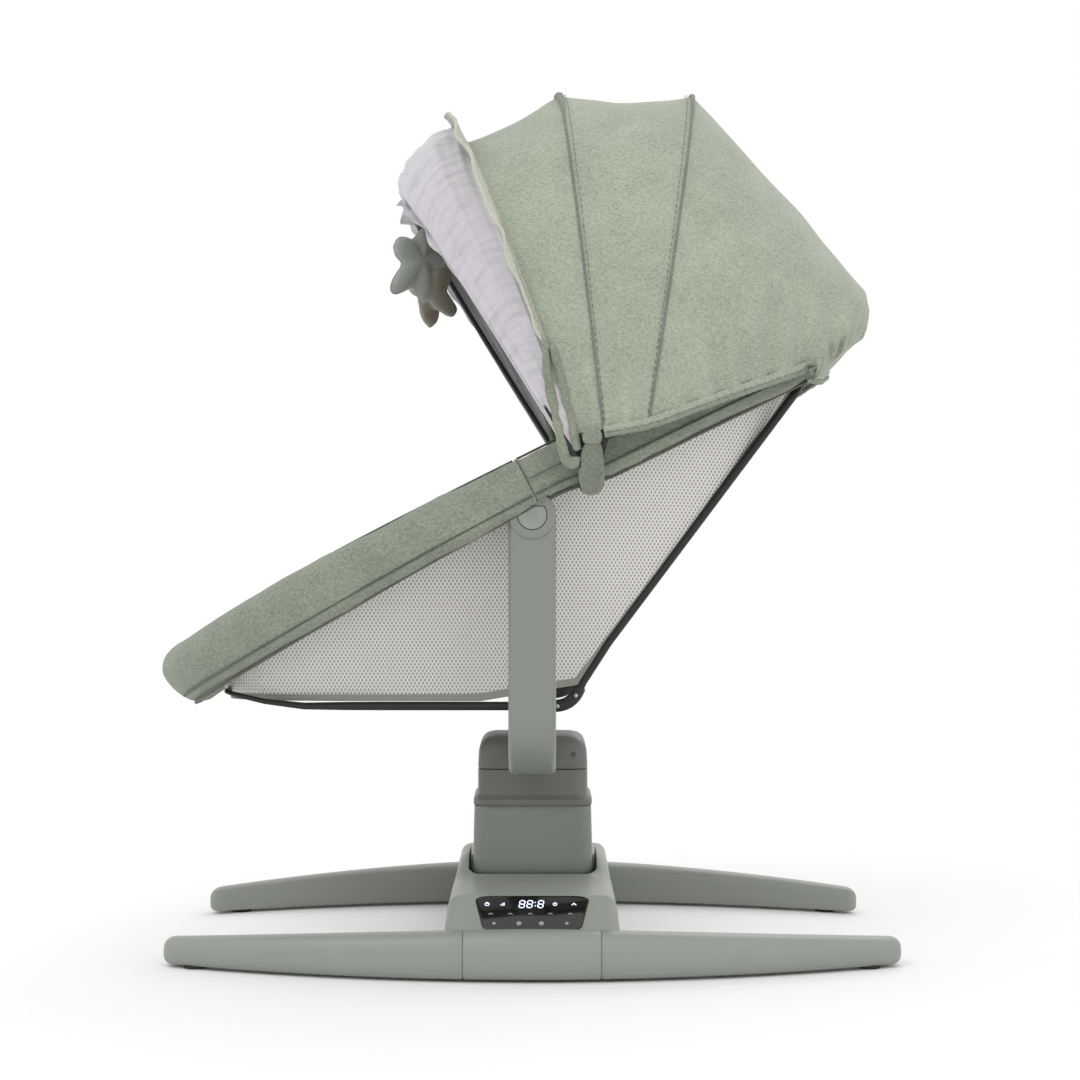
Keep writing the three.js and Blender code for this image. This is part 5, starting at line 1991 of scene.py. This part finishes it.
        body = Shop.slab("buckle_body", outline, tilt @ Matrix.Translation((0, 0, -0.0065)), 0.013, 0.0028)
        hole = (tilt @ Vector((0, 0, z)) for z in (0.0016, 0.012))
        Shop.cut(body, Shop.disc("button_tool", 0.0086, *hole, 0))
        dress(Shop.smooth(body, 38), Finish.BLACK, "seat", "harness_buckle")
        faces = (tilt @ Vector((0, 0, z)) for z in (0.0044, 0.0075))
        button = Shop.disc("buckle_release", 0.008, *faces, 0.001, 40)
        dress(button, Finish.DARK_GREY, "buckle_button", "buckle_button")

    def hinges(self) -> None:
        """The canopy's hinge bosses outside the rim."""
        x, z = self.hinge
        for name, side in SIDES.items():
            for part, radius, low, high, finish in (("stem", 0.007, 0.197, 0.2466, Finish.BLACK),
                                                    ("boss", 0.013, 0.2465, 0.2512, Finish.BLACK),
                                                    ("pin", 0.004, 0.2512, 0.2735, Finish.BLACK),
                                                    ("cap", 0.0068, 0.2735, 0.2748, Finish.DARK_GREY)):
                disc = Shop.disc(f"hinge_{name}_{part}", radius, Vector((x, side * low, z)),
                                 Vector((x, side * high, z)), 0.0006, 36)
                dress(disc, finish, "seat", *([f"canopy_hinge_{name}"] if part == "boss" else []))

    def build(self) -> None:
        """Makes the whole seat."""
        self.rim_band()
        self.bucket()
        self.lower_tubes()
        self.liner()
        self.harness()
        self.hinges()
        repaint(Finish.TUBE, "rim_tube")
        repaint(Finish.BLACK, "hub_bracket_left", "hub_bracket_right")


# ---------------------------------------------------------------- canopy, net and toys


@dataclass
class Canopy:
    """The folding hood: three bows, one skin sewn in three gores, a brim, hems and sleeves."""

    hinge: Flat = (0.060, 0.505)
    bend: tuple = (Vector((0.262, 0, 0.640)), Vector((0.150, 0, 0.668)))
    bow_wide: float = 0.011
    bow_thick: float = 0.0036
    middle: Arch = Arch((0.072, 0.558), (0.028, 0.9365), 0.2698)
    front: Arch = Arch((0.040, 0.553), (-0.075, 0.885), 0.2696)
    rear: Arch = Arch((0.118, 0.567), (0.1745, 0.936), 0.2698)
    shoulder: Arch = Arch((0.276, 0.625), (0.3490, 0.7385), 0.213)
    hood: Arch = Arch((0.287, 0.629), (0.3630, 0.7200), 0.2105)
    bulge: Arch = Arch((0.288, 0.625), (0.3665, 0.7000), 0.2095)
    roll: Arch = Arch((0.288, 0.618), (0.3570, 0.6700), 0.206)
    tuck: Arch = Arch((0.286, 0.608), (0.322, 0.631), 0.196)
    lip: Arch = Arch((0.016, 0.640), (-0.0745, 0.884), 0.2704)
    brim: Arch = Arch((0.010, 0.646), (-0.094, 0.9165), 0.2708)
    cloth_thick: float = 0.0016
    loose: float = 0.0042
    across: int = 110

    def fan(self, piece: Piece, a: str, b: str, degrees: float, half: float) -> None:
        """Bakes a piece's place into its mesh, without bending it.

        Args:
            piece: the finished mesh.
            a: the body towards the head; not used.
            b: the body towards the foot; not used.
            degrees: where the middle of the bend leans, from upright towards the head; not used.
            half: half the width over which it bends; not used.
        """
        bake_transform(piece)

    def gore(self, name: str, arches: Sequence[Arch], count: int, sag: float, creases: float,
             seed: float, pucker: float = 0.0) -> Piece:
        """One gore of the skin through several arches.

        Args:
            name: the piece's name.
            arches: from one seam to the other.
            count: rows in all.
            sag: how far it falls in between its seams.
            creases: depth of its small creases.
            seed: makes its creases its own.
            pucker: depth of the gathers above its first edge.

        Returns:
            The cloth, with its thickness.
        """
        rows = []
        for v in spread(count):
            s = v * (len(arches) - 1)
            i = min(int(s), len(arches) - 2)
            arch = arches[i].towards(arches[i + 1], s - i)
            base = arch.line(self.across)
            heart = Vector((arch.foot[0], 0, arch.foot[1] + 0.1))
            row = []
            for k, p in enumerate(base):
                u = k / self.across
                away = (p - heart).normalized()
                hang = math.sin(math.pi * v)
                low = 1 - ease(p.z, arch.foot[1] + 0.01, arch.foot[1] + 0.16)
                gather = low * creases * 1.4 * math.sin(p.x * 210 + seed + 3 * noise.noise(p * 14))
                ripple = math.sin(u * 112 + 1.8 * noise.noise(Vector((u * 14, v * 3, 1))))
                gathered = pucker * (1 - ease(v, 0.10, 0.42)) * ripple * (0.6 + noise.noise(p * 20))
                fine = gathered + wrinkle(Vector((p.x * 2, p.y, p.z)), 11, creases * 1.6, seed)
                away_from_seam = min(1.0, 4 * v, 4 * (1 - v)) ** 0.5
                arch_share = math.sin(math.pi * u) ** 0.5 if 0 < u < 1 else 0.0
                row.append(p + away * (-sag * hang * arch_share + (gather + fine) * away_from_seam))
            rows.append(row)
        cloth = Shop.skin(name, rows)
        Shop.thicken(cloth, self.cloth_thick, -1.0)
        return Shop.smooth(cloth, 60)

    def rear_arches(self) -> list[Arch]:
        """The rear gore's arches, from its gathered lower edge up to the rear bow, a little puffed.

        Returns:
            The arches.
        """
        puff = 0.004
        arches = [self.tuck, self.roll, self.bulge, self.hood]
        for t in spread(4):
            arch = self.shoulder.towards(self.rear, t)
            grow = puff * math.sin(math.pi * t)
            arches.append(Arch(arch.foot, (arch.tip[0] + grow * 0.5, arch.tip[1] + grow * 0.6),
                               arch.wide + grow * 2.5))
        return arches

    def skin(self) -> None:
        """The three gores, sewn to each other along the bows."""
        front = self.gore("canopy_front_gore", [self.middle, self.front], 26, 0.004, 0.0012, 2.0)
        dress(front, Finish.CLOTH, "bow_front", "canopy_cloth_front")
        self.release(front)
        self.fan(front, "bow_middle", "bow_front", -10.5, 0.034)
        middle = self.gore("canopy_middle_gore", [self.rear, self.middle], 34, 0.007, 0.0013, 6.0)
        dress(middle, Finish.CLOTH, "bow_middle", "canopy_cloth_middle")
        self.release(middle)
        self.fan(middle, "bow_rear", "bow_middle", 5.2, 0.048)
        rear = self.gore("canopy_rear_gore", self.rear_arches(), 64, 0.0, 0.0022, 9.0, 0.0062)
        dress(rear, Finish.CLOTH, "seat", "canopy_cloth_rear")
        self.release(rear)
        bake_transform(rear)

    @staticmethod
    def release(piece: Piece) -> None:
        """Frees a piece from the body that dressing put it on.

        Args:
            piece: the piece.
        """
        piece.parent = None
        if "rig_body" in piece:
            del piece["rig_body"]

    def seams(self) -> None:
        """The bound seams over the bows, with their raised pipe at the top, and the stitching beside them."""
        for name, arch, body, radius in (("middle", self.middle, "bow_middle", 0.0030),
                                         ("rear", self.rear, "bow_rear", 0.0013)):
            rows = []
            line = arch.line(self.across, 0.0006)
            for i, p in enumerate(line):
                along = heading(line, i)
                side = along.cross(Vector((p.x - arch.foot[0], p.y, p.z - arch.foot[1] - 0.1))).normalized()
                up = side.cross(along)
                height = 0.0011 + radius * ease(p.z, arch.tip[1] - 0.05, arch.tip[1])
                rows.append([p + side * a * height * 1.2 + up * b * height for a, b in circle(1.0, 12)])
            seam = Shop.skin(f"canopy_seam_{name}", rows, around=True)
            dress(Shop.smooth(seam, 60), Finish.SEAM, body)

    def stitches(self) -> None:
        """Rows of short stitches beside each seam."""
        for name, arch, towards, body in (("middle", self.middle, self.rear, "bow_middle"),
                                          ("rear", self.rear, self.middle, "bow_rear")):
            beside = arch.towards(towards, 0.045)
            line = beside.line(220, 0.0012)
            parts = []
            total = Shop.lengths(line)
            step, reach, i = 0.0072, 0.0044, 0
            distance = 0.01
            while distance < total[-1] - 0.02:
                while total[i + 1] < distance:
                    i += 1
                t = (distance - total[i]) / max(1e-6, total[i + 1] - total[i])
                p = line[i].lerp(line[i + 1], t)
                along = (line[i + 1] - line[i]).normalized()
                parts.append([p - along * reach / 2, p + along * reach / 2])
                distance += step
            bars = []
            for pair in parts:
                steep = abs(heading(pair, 0).z) >= 0.9
                bars.append(Shop.bar("stitch", pair, circle(0.00035, 4), X_AXIS if steep else Z_AXIS))
            dress(Shop.join(f"stitches_{name}", bars), Finish.PIPING, body)

    @staticmethod
    def wave(u: float) -> float:
        """The brim's loose wave at a share of its length."""
        return math.sin(u * 62 + 1.3) * 0.6 + math.sin(u * 101 + 0.4) * 0.4

    def ruffle(self) -> None:
        """The brim that stands up along the front edge, wavy where it is loose."""
        rows = []
        for v in spread(12):
            arch = self.lip.towards(self.brim, v)
            row = []
            for k, p in enumerate(arch.line(self.across * 2, -0.001)):
                u = k / (self.across * 2)
                shift = self.loose * v * v * self.wave(u) * math.sin(math.pi * u) ** 0.4 if 0 < u < 1 else 0.0
                row.append(p + Vector((shift * 0.9, 0, shift * 0.4)))
            rows.append(row)
        brim = Shop.skin("canopy_brim", rows)
        Shop.thicken(brim, 0.0022, 0.0)
        dress(Shop.smooth(brim, 60), Finish.EDGE, "bow_front")
        for name, arch, radius, out, loose, finish in (
                ("edge", self.brim, 0.0019, -0.001, self.loose, Finish.EDGE),
                ("fold", self.lip, 0.0014, 0.0008, 0.0, Finish.CLOTH)):
            line = []
            for k, p in enumerate(arch.line(self.across * 2, out)):
                u = k / (self.across * 2)
                shift = loose * self.wave(u) * math.sin(math.pi * u) ** 0.4 if 0 < u < 1 else 0.0
                line.append(p + Vector((shift * 0.9, 0, shift * 0.4)))
            tube = Shop.bar(f"brim_{name}", line, circle(radius, 10), X_AXIS)
            dress(Shop.smooth(tube, 60), finish, "bow_front")

    def bows(self) -> None:
        """The three flat bows inside the cloth, each with its eyes on the hinge pins."""
        section = [(a * self.bow_wide / 2, b * self.bow_thick / 2) for a, b in
                   ((-1, -0.6), (-0.9, -1), (0.9, -1), (1, -0.6), (1, 0.6), (0.9, 1), (-0.9, 1), (-1, 0.6))]
        x, z = self.hinge
        for name, tip, wide in (("middle", (0.030, 0.926), 0.2536), ("front", (-0.066, 0.872), 0.2586),
                                ("rear", (0.172, 0.926), 0.2636)):
            arch = Arch(self.hinge, tip, wide)
            across = Vector((tip[0] - x, 0, tip[1] - z)).normalized().cross(Y_AXIS)
            bow = Shop.bar(f"{name}_bow", arch.line(90), section, across)
            dress(Shop.smooth(bow, 50), Finish.BLACK, f"bow_{name}", f"bow_{name}")
            for side_name, side in SIDES.items():
                eye = Shop.disc(f"{name}_bow_eye_{side_name}", 0.009, Vector((x, side * (wide - 0.0018), z)),
                                Vector((x, side * (wide + 0.0018), z)), 0.0006, 36)
                dress(eye, Finish.BLACK, f"bow_{name}")

    def sleeves(self) -> None:
        """Rolled cloth casings that come down the front and middle bows and turn under at the hinge."""
        y = 0.2690
        for name, body, wide, spots in (
                ("front", "bow_front", 0.0056,
                 ((0.0118, 0.6560), (0.0160, 0.6130), (0.0245, 0.5690), (0.0310, 0.5400), (0.0350, 0.5270),
                  (0.0420, 0.5240), (0.0455, 0.5320))),
                ("middle", "bow_middle", 0.0046,
                 ((0.0185, 0.6450), (0.0310, 0.6030), (0.0405, 0.5640), (0.0452, 0.5360)))):
            for side_name, side in SIDES.items():
                count = 60
                line = smooth_line([Vector((x, side * (y + 0.0016 * math.sin(3.0 * i)), z))
                                    for i, (x, z) in enumerate(spots)], count)
                rows = []
                for i, p in enumerate(line):
                    along = heading(line, i)
                    across = along.cross(Y_AXIS).normalized()
                    t = i / count
                    ends = min(1.0, math.sqrt(max(0.04, 1 - (1 - min(1.0, min(t, 1 - t) / 0.05)) ** 2)))
                    grow = (0.72 + 0.38 * t) * ends
                    ring = []
                    for a, b in circle(1.0, 26):
                        q = p + across * a * wide * grow + Y_AXIS * b * 0.0042 * ends
                        crease = wrinkle(Vector((q.x * 1.6, q.y * 2, q.z * 0.7)), 90, 0.0016, y * 9)
                        ring.append(q + (q - p).normalized() * crease)
                    rows.append(ring)
                sleeve = Shop.skin(f"sleeve_{name}_{side_name}", rows, around=True)
                dress(Shop.smooth(sleeve, 60), Finish.RIM, body)

    def pocket(self, name: str, side: int, spots: Outline, faces: Flat,
               round_off: float) -> Piece:
        """A puffy closed cloth shape, flat to the side.

        Args:
            name: the piece's name.
            side: which side of the seat.
            spots: its outline in side view.
            faces: its nearest and farthest distance from the middle.
            round_off: how far its edges are rounded.

        Returns:
            The pocket.
        """
        outline = smooth_outline(spots, 64)
        heart = Vector((sum(x for x, _ in outline) / 64, 0, sum(z for _, z in outline) / 64))
        rows = []
        for t, grow in ((0.0, 1.0), (0.55, 1.0), (0.75, 0.985), (0.88, 0.93), (0.96, 0.82), (1.0, 0.62),
                        (1.0, 0.3)):
            y = faces[0] + (faces[1] - faces[0]) * t
            row = []
            for x, z in outline:
                away = Vector((x, 0, z)) - heart
                reach = away.length - round_off * (1 - grow) * 3
                p = heart + away.normalized() * max(0.001, reach if grow > 0.5 else away.length * grow)
                row.append(Vector((p.x, side * (y + wrinkle(p, 70, 0.0012, 3.0)), p.z)))
            rows.append(row)
        made = Shop.skin(name, rows, around=True)
        return Shop.smooth(made, 70)

    def pockets(self) -> None:
        """Cloth pockets over the hinge, in darker cloth as painted shade, and over the end of the middle bow.
        """
        over_hinge = ((0.0500, 0.4985), (0.0545, 0.4935), (0.0600, 0.4920), (0.0655, 0.4935),
                      (0.0705, 0.4985), (0.0735, 0.5100), (0.0725, 0.5260), (0.0700, 0.5420),
                      (0.0640, 0.5500), (0.0560, 0.5480), (0.0500, 0.5360), (0.0470, 0.5140))
        tab = ((0.0520, 0.5450), (0.0600, 0.5425), (0.0685, 0.5445), (0.0705, 0.5520), (0.0670, 0.5590),
               (0.0600, 0.5610), (0.0535, 0.5585), (0.0510, 0.5520))
        for side_name, side in SIDES.items():
            cover = self.pocket(f"hinge_pocket_{side_name}", side, over_hinge, (0.236, 0.2762), 0.005)
            # The hinge pocket's darker cloth is painted shade under the hood's hem.
            dress(cover, Finish.SHADE, "seat")
            end = self.pocket(f"bow_tab_{side_name}", side, tab, (0.268, 0.2768), 0.0022)
            dress(end, Finish.RIM, "bow_middle")

    def hem(self) -> None:
        """The elastic hem along the hood's lower edge, from one hinge round behind the head to the other."""
        arches = [self.middle, *self.rear_arches()[::-1]]
        across = self.tuck.line(40)
        for side_name, side in SIDES.items():
            feet = [Vector((arch.foot[0], side * (arch.wide + 0.0004), arch.foot[1])) for arch in arches]
            half = [p for p in across if p.y * side > 0.02][::1 if side < 0 else -1]
            line = smooth_line(feet[:-1], 90) + half[2::3] + [Vector((across[20].x, 0, across[20].z))]
            line = smooth_line(line[::3] + [line[-1]], 150)
            for name, drop, radius, finish in (("hem", 0.0, 0.0032, Finish.CLOTH), ("elastic", 0.0058, 0.0024,
                                                                                    Finish.RIM)):
                rows = []
                for i, p in enumerate(line):
                    along = heading(line, i)
                    across_line = along.cross(Z_AXIS).normalized()
                    up = across_line.cross(along)
                    pinch = 1 + 0.16 * math.sin(i * 2.1)
                    spot = p - up * drop * (1 if up.z > 0 else -1)
                    rows.append([spot + across_line * a * radius * 0.8 * pinch
                                 + up * b * radius * 1.15 * pinch for a, b in circle(1.0, 10)])
                strip = Shop.skin(f"hood_{name}_{side_name}", rows, around=True)
                dress(Shop.smooth(strip, 60), finish, "seat")
                self.release(strip)
                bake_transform(strip)

    def build(self) -> None:
        """Makes the hood."""
        self.bows()
        self.skin()
        self.seams()
        self.stitches()
        self.ruffle()
        self.sleeves()
        self.pockets()
        self.hem()


@dataclass
class ToyArch:
    """The thin toy bar, the net between it and the hood, and two hanging plush toys."""

    canopy: Canopy
    tip: Flat = (-0.134, 0.812)
    wide: float = 0.2700
    radius: float = 0.0028
    toy_y: float = 0.130
    across: int = 220

    def bar(self) -> None:
        """The bar with its eyes on the hinge pins."""
        x, z = self.canopy.hinge
        across = Vector((self.tip[0] - x, 0, self.tip[1] - z)).normalized().cross(Y_AXIS)
        arch = Arch(self.canopy.hinge, self.tip, self.wide)
        bar = Shop.bar("toy_rail", arch.line(110), circle(self.radius, 16), across)
        dress(Shop.smooth(bar, 60), Finish.TUBE, "toy_bar", "toy_bar")
        for side_name, side in SIDES.items():
            eye = Shop.disc(f"toy_rail_eye_{side_name}", 0.0085, Vector((x, side * (self.wide - 0.0026), z)),
                            Vector((x, side * (self.wide + 0.0026), z)), 0.0008, 36)
            dress(eye, Finish.BLACK, "toy_bar")

    def net_arch(self, v: float) -> Arch:
        """The net's arch at v, from under the hood's brim at 0 over its puffed top to the toy bar at 1.

        Args:
            v: the share of the way.

        Returns:
            The arch.
        """
        stops = ((0.050, 0.538, -0.078, 0.889), (0.047, 0.539, -0.093, 0.900), (0.042, 0.541, -0.120, 0.889),
                 (0.037, 0.543, -0.139, 0.862), (0.032, 0.545, -0.148, 0.836), (0.028, 0.547, -0.138, 0.8145))
        s = min(v, 0.9999) * (len(stops) - 1)
        i = int(s)
        near = [stops[min(max(i + d, 0), len(stops) - 1)] for d in (-1, 0, 1, 2)]
        mid = [curve(*four, s - i) for four in zip(*near)]
        return Arch((mid[0], mid[1]), (mid[2], mid[3]), 0.2686 + 0.0022 * v)

    def net_point(self, u: float, v: float) -> Vector:
        """A point of the net with the folds that run down it to the hinge.

        Args:
            u: the share along its arch.
            v: the share from the hood to the bar.

        Returns:
            The point.
        """
        arch = self.net_arch(v)
        p = arch.point(u)
        away = (p - Vector((arch.foot[0], 0, arch.foot[1] + 0.05))).normalized()
        drift = 1.6 * noise.noise(Vector((u * 5, 0.4, v * 2)))
        pleats = math.sin(v * 38 + 2.4 * drift) * 0.6 + math.sin(v * 67 + 3 * drift + 1) * 0.4
        rise = math.sin(math.pi * u) ** 0.6 if 0 < u < 1 else 0.0
        depth = (0.0006 + 0.0007 * rise) * min(1.0, 6 * v, 6 * (1 - v) + 0.3)
        crumple = wrinkle(p, 22, 0.006, 1.0) * rise + wrinkle(p, 52, 0.003, 4.0) * rise
        return p + away * (pleats * depth + crumple * min(1.0, 8 * v))

    def net(self) -> None:
        """The gathered net, its drawn edge on the bar and the loose tufts past it."""
        spots = [0.5 - 0.5 * math.cos(math.pi * t) for t in spread(self.across)]
        rows = [[self.net_point(u, v) for u in spots] for v in spread(60)]
        veil = Shop.skin("veil", rows)
        Shop.thicken(veil, 0.0007, 0.0)
        dress(Shop.smooth(veil, 70), Finish.NET, "toy_bar", "net")
        Canopy.release(veil)
        self.canopy.fan(veil, "bow_front", "toy_bar", -27.3, 0.034)
        frill = []
        inner = [0.5 - 0.5 * math.cos(math.pi * t) for t in spread(self.across, 0.27, 0.73)]
        for v in spread(8):
            row = []
            for k, u in enumerate(inner):
                p = self.net_arch(1.0).point(u, 0.0012)
                fade = math.sin(math.pi * k / self.across) ** 0.7 if 0 < k < self.across else 0.0
                wave = math.sin(k * 0.19) * 0.6 + math.sin(k * 0.33 + 2) * 0.4
                reach = (0.011 + 0.007 * noise.noise(Vector((k * 0.07, 0, 0)))) * fade
                row.append(p + Vector((-reach * v, 0, reach * v * 0.35))
                           + Vector((0.0035 * wave * v * fade, 0, 0.0055 * wave * v * fade)))
            frill.append(row)
        tufts = Shop.skin("veil_frill", frill)
        Shop.thicken(tufts, 0.0007, 0.0)
        dress(Shop.smooth(tufts, 70), Finish.NET, "toy_bar")

    def toy_centre(self, side: int) -> Vector:
        """Where a toy's loop hangs on the bar.

        Args:
            side: which side it hangs on.

        Returns:
            The point.
        """
        rise = (1 - (self.toy_y / self.wide) ** 2.7) ** (1 / 2.7)
        x, z = self.canopy.hinge
        return Vector((x + (self.tip[0] - x) * rise, side * self.toy_y, z + (self.tip[1] - z) * rise))

    def star(self, name: str, side: int, finish: Finish, turn: float, lean: float) -> None:
        """A puffy plush star with long soft arms on a ribbon loop, with a sewn seam round its edge.

        Args:
            name: left or right.
            side: which side it hangs on.
            finish: its plush.
            turn: how far it is turned about its ribbon, in degrees.
            lean: how far it leans in its own plane, in degrees.
        """
        bar = self.toy_centre(side)
        centre = bar + Vector((0.002, 0, -0.050))
        facing = Matrix.Rotation(math.radians(turn), 3, "Z") @ Matrix.Rotation(math.radians(lean), 3, "Y")
        sectors, shells = 120, 16

        def arm(angle: float) -> float:
            """How near an angle is to the middle of an arm, from 0 to 1."""
            return 0.5 + 0.5 * math.cos(5 * (angle - math.pi / 2))

        def reach(angle: float) -> float:
            """The star's radius: long arms below, short ones above."""
            long = arm(angle) ** 1.1 * (0.0145 - 0.0045 * math.sin(angle))
            return 0.0235 + long + 0.0012 * math.sin(3 * angle + side)

        def plump(p: Vector) -> Vector:
            """Moves a point by the unevenness of the stuffing and puts it in its place."""
            if p.length > 1e-6:
                p += p.normalized() * (wrinkle(p, 75, 0.0022, side) + wrinkle(p, 190, 0.0007, side))
            return centre + facing @ p

        rows = []
        for j in range(shells + 1):
            latitude = -math.pi / 2 + math.pi * j / shells
            row = []
            for i in range(sectors):
                angle = math.tau * i / sectors
                out = max(0.0, math.cos(latitude)) ** 0.62
                radius = reach(angle) * out
                thick = 0.0155 * math.sin(latitude) * (1 - 0.25 * out * (1 - arm(angle)))
                droop = 0.007 * out * out * (0.4 - math.sin(angle)) * arm(angle)
                row.append(plump(Vector((radius * math.cos(angle) * 0.86, thick + droop,
                                         radius * math.sin(angle) * 1.16))))
            rows.append(row)
        body = Shop.skin(f"plush_{name}", rows, around=True)
        dress(Shop.smooth(body, 80), finish, f"star_{name}", f"star_{name}")
        seam_line = []
        for angle in spread(160, 0, math.tau):
            radius = reach(angle) + 0.0002
            seam_line.append(plump(Vector((radius * math.cos(angle) * 0.86,
                                           0.007 * (0.4 - math.sin(angle)) * arm(angle),
                                           radius * math.sin(angle) * 1.16))))
        seam = Shop.bar(f"plush_{name}_seam", seam_line, circle(0.0007, 6), Y_AXIS)
        dress(Shop.smooth(seam, 60), finish, f"star_{name}")
        loop = [bar + Vector((0.0064 * math.cos(math.pi * t), 0, 0.0064 * math.sin(math.pi * t)))
                for t in spread(24, -0.42, 1.42)]
        knot = Vector((bar.x, bar.y, bar.z - 0.0105))
        low = centre + facing @ Vector((0, 0, 1.16 * reach(math.pi / 2) - 0.004))
        section = [(-0.003, -0.0005), (0.003, -0.0005), (0.003, 0.0005), (-0.003, 0.0005)]
        for part, points in (("loop", loop), ("drop", [knot, knot.lerp(low, 0.5), low])):
            ribbon = Shop.bar(f"ribbon_{name}_{part}", points, section, Y_AXIS)
            dress(Shop.smooth(ribbon, 50), Finish.BINDING, f"star_{name}")
        half = Y_AXIS * 0.0036
        tie = Shop.disc(f"ribbon_{name}_tie", 0.0024, knot - half, knot + half, 0.0010, 20)
        dress(tie, Finish.BINDING, f"star_{name}")

    def build(self) -> None:
        """Makes the toy arch."""
        self.bar()
        self.net()
        self.star("left", -1, Finish.SAGE, 24, 12)
        self.star("right", 1, Finish.TAUPE, -38, -16)


# ---------------------------------------------------------------- the studio


@dataclass
class Studio:
    """Pale floor, soft lights and the camera."""

    eye: Vector = field(default_factory=lambda: Vector((0.008, -2.57, 0.4416)))
    lens: float = 76.07
    shift_y: float = 0.0046

    def camera(self) -> None:
        """A level camera that looks along +Y."""
        Shop.deselect()
        bpy.ops.object.camera_add(location=self.eye, rotation=(math.pi / 2, 0, 0))
        camera = bpy.context.object
        camera.data.lens = self.lens
        camera.data.shift_y = self.shift_y
        camera.data.clip_end = 50
        bpy.context.scene.camera = camera

    def floor(self) -> None:
        """A pale floor that catches the soft shadow near the stand and melts into the backdrop."""
        Shop.deselect()
        bpy.ops.mesh.primitive_plane_add(size=24)
        floor = Shop.named("floor")
        sheet = Shader("floor_look", Roughness=0.9, Specular_IOR_Level=0.1)
        sheet.feed("Base Color", sheet.mix(sheet.noise(1.5, 2), tint(243, 243, 243), tint(247, 247, 247)))
        x, y = sheet.axis("X"), sheet.axis("Y")
        far = ((x * x * 0.55 + y * y * 0.8) - 0.20) * 1.6
        sheet.glow_past(far.most(0.0).least(1.0), 1.0)
        floor.data.materials.append(sheet.material)

    def lights(self) -> None:
        """Large soft lights and a white sky."""
        for name, place, power, size in (("key", (-1.6, -2.2, 2.8), 22, 1.6),
                                         ("fill", (2.2, -2.4, 1.2), 7, 2.2),
                                         ("back", (0.9, 2.2, 2.2), 12, 1.8)):
            Shop.deselect()
            bpy.ops.object.light_add(type="AREA", location=place)
            light = bpy.context.object
            light.name = name
            light.data.energy = power
            light.data.size = size
            light.rotation_euler = (Vector((0, 0, 0.5)) - Vector(place)).to_track_quat("-Z", "Y").to_euler()
        world = bpy.data.worlds.new("studio_sky")
        world.use_nodes = True
        backdrop = world.node_tree.nodes["Background"]
        backdrop.inputs["Color"].default_value = (1, 1, 1, 1)
        backdrop.inputs["Strength"].default_value = 1.0
        bpy.context.scene.world = world
        bpy.context.scene.view_settings.view_transform = "Standard"

    def build(self) -> None:
        """Sets the scene."""
        self.camera()
        self.floor()
        self.lights()


def main() -> None:
    """Builds the swing piece by piece."""
    logging.basicConfig(level=logging.INFO, format="%(message)s")
    rim = Rim()
    canopy = Canopy()
    seat = Seat(rim, Cradle(rim), Padding())
    for part in (Studio(), FloorStand(), SwayTower(), seat, canopy, ToyArch(canopy)):
        part.build()
        LOG.info("built %s", type(part).__name__)


if __name__ == "__main__":
    main()
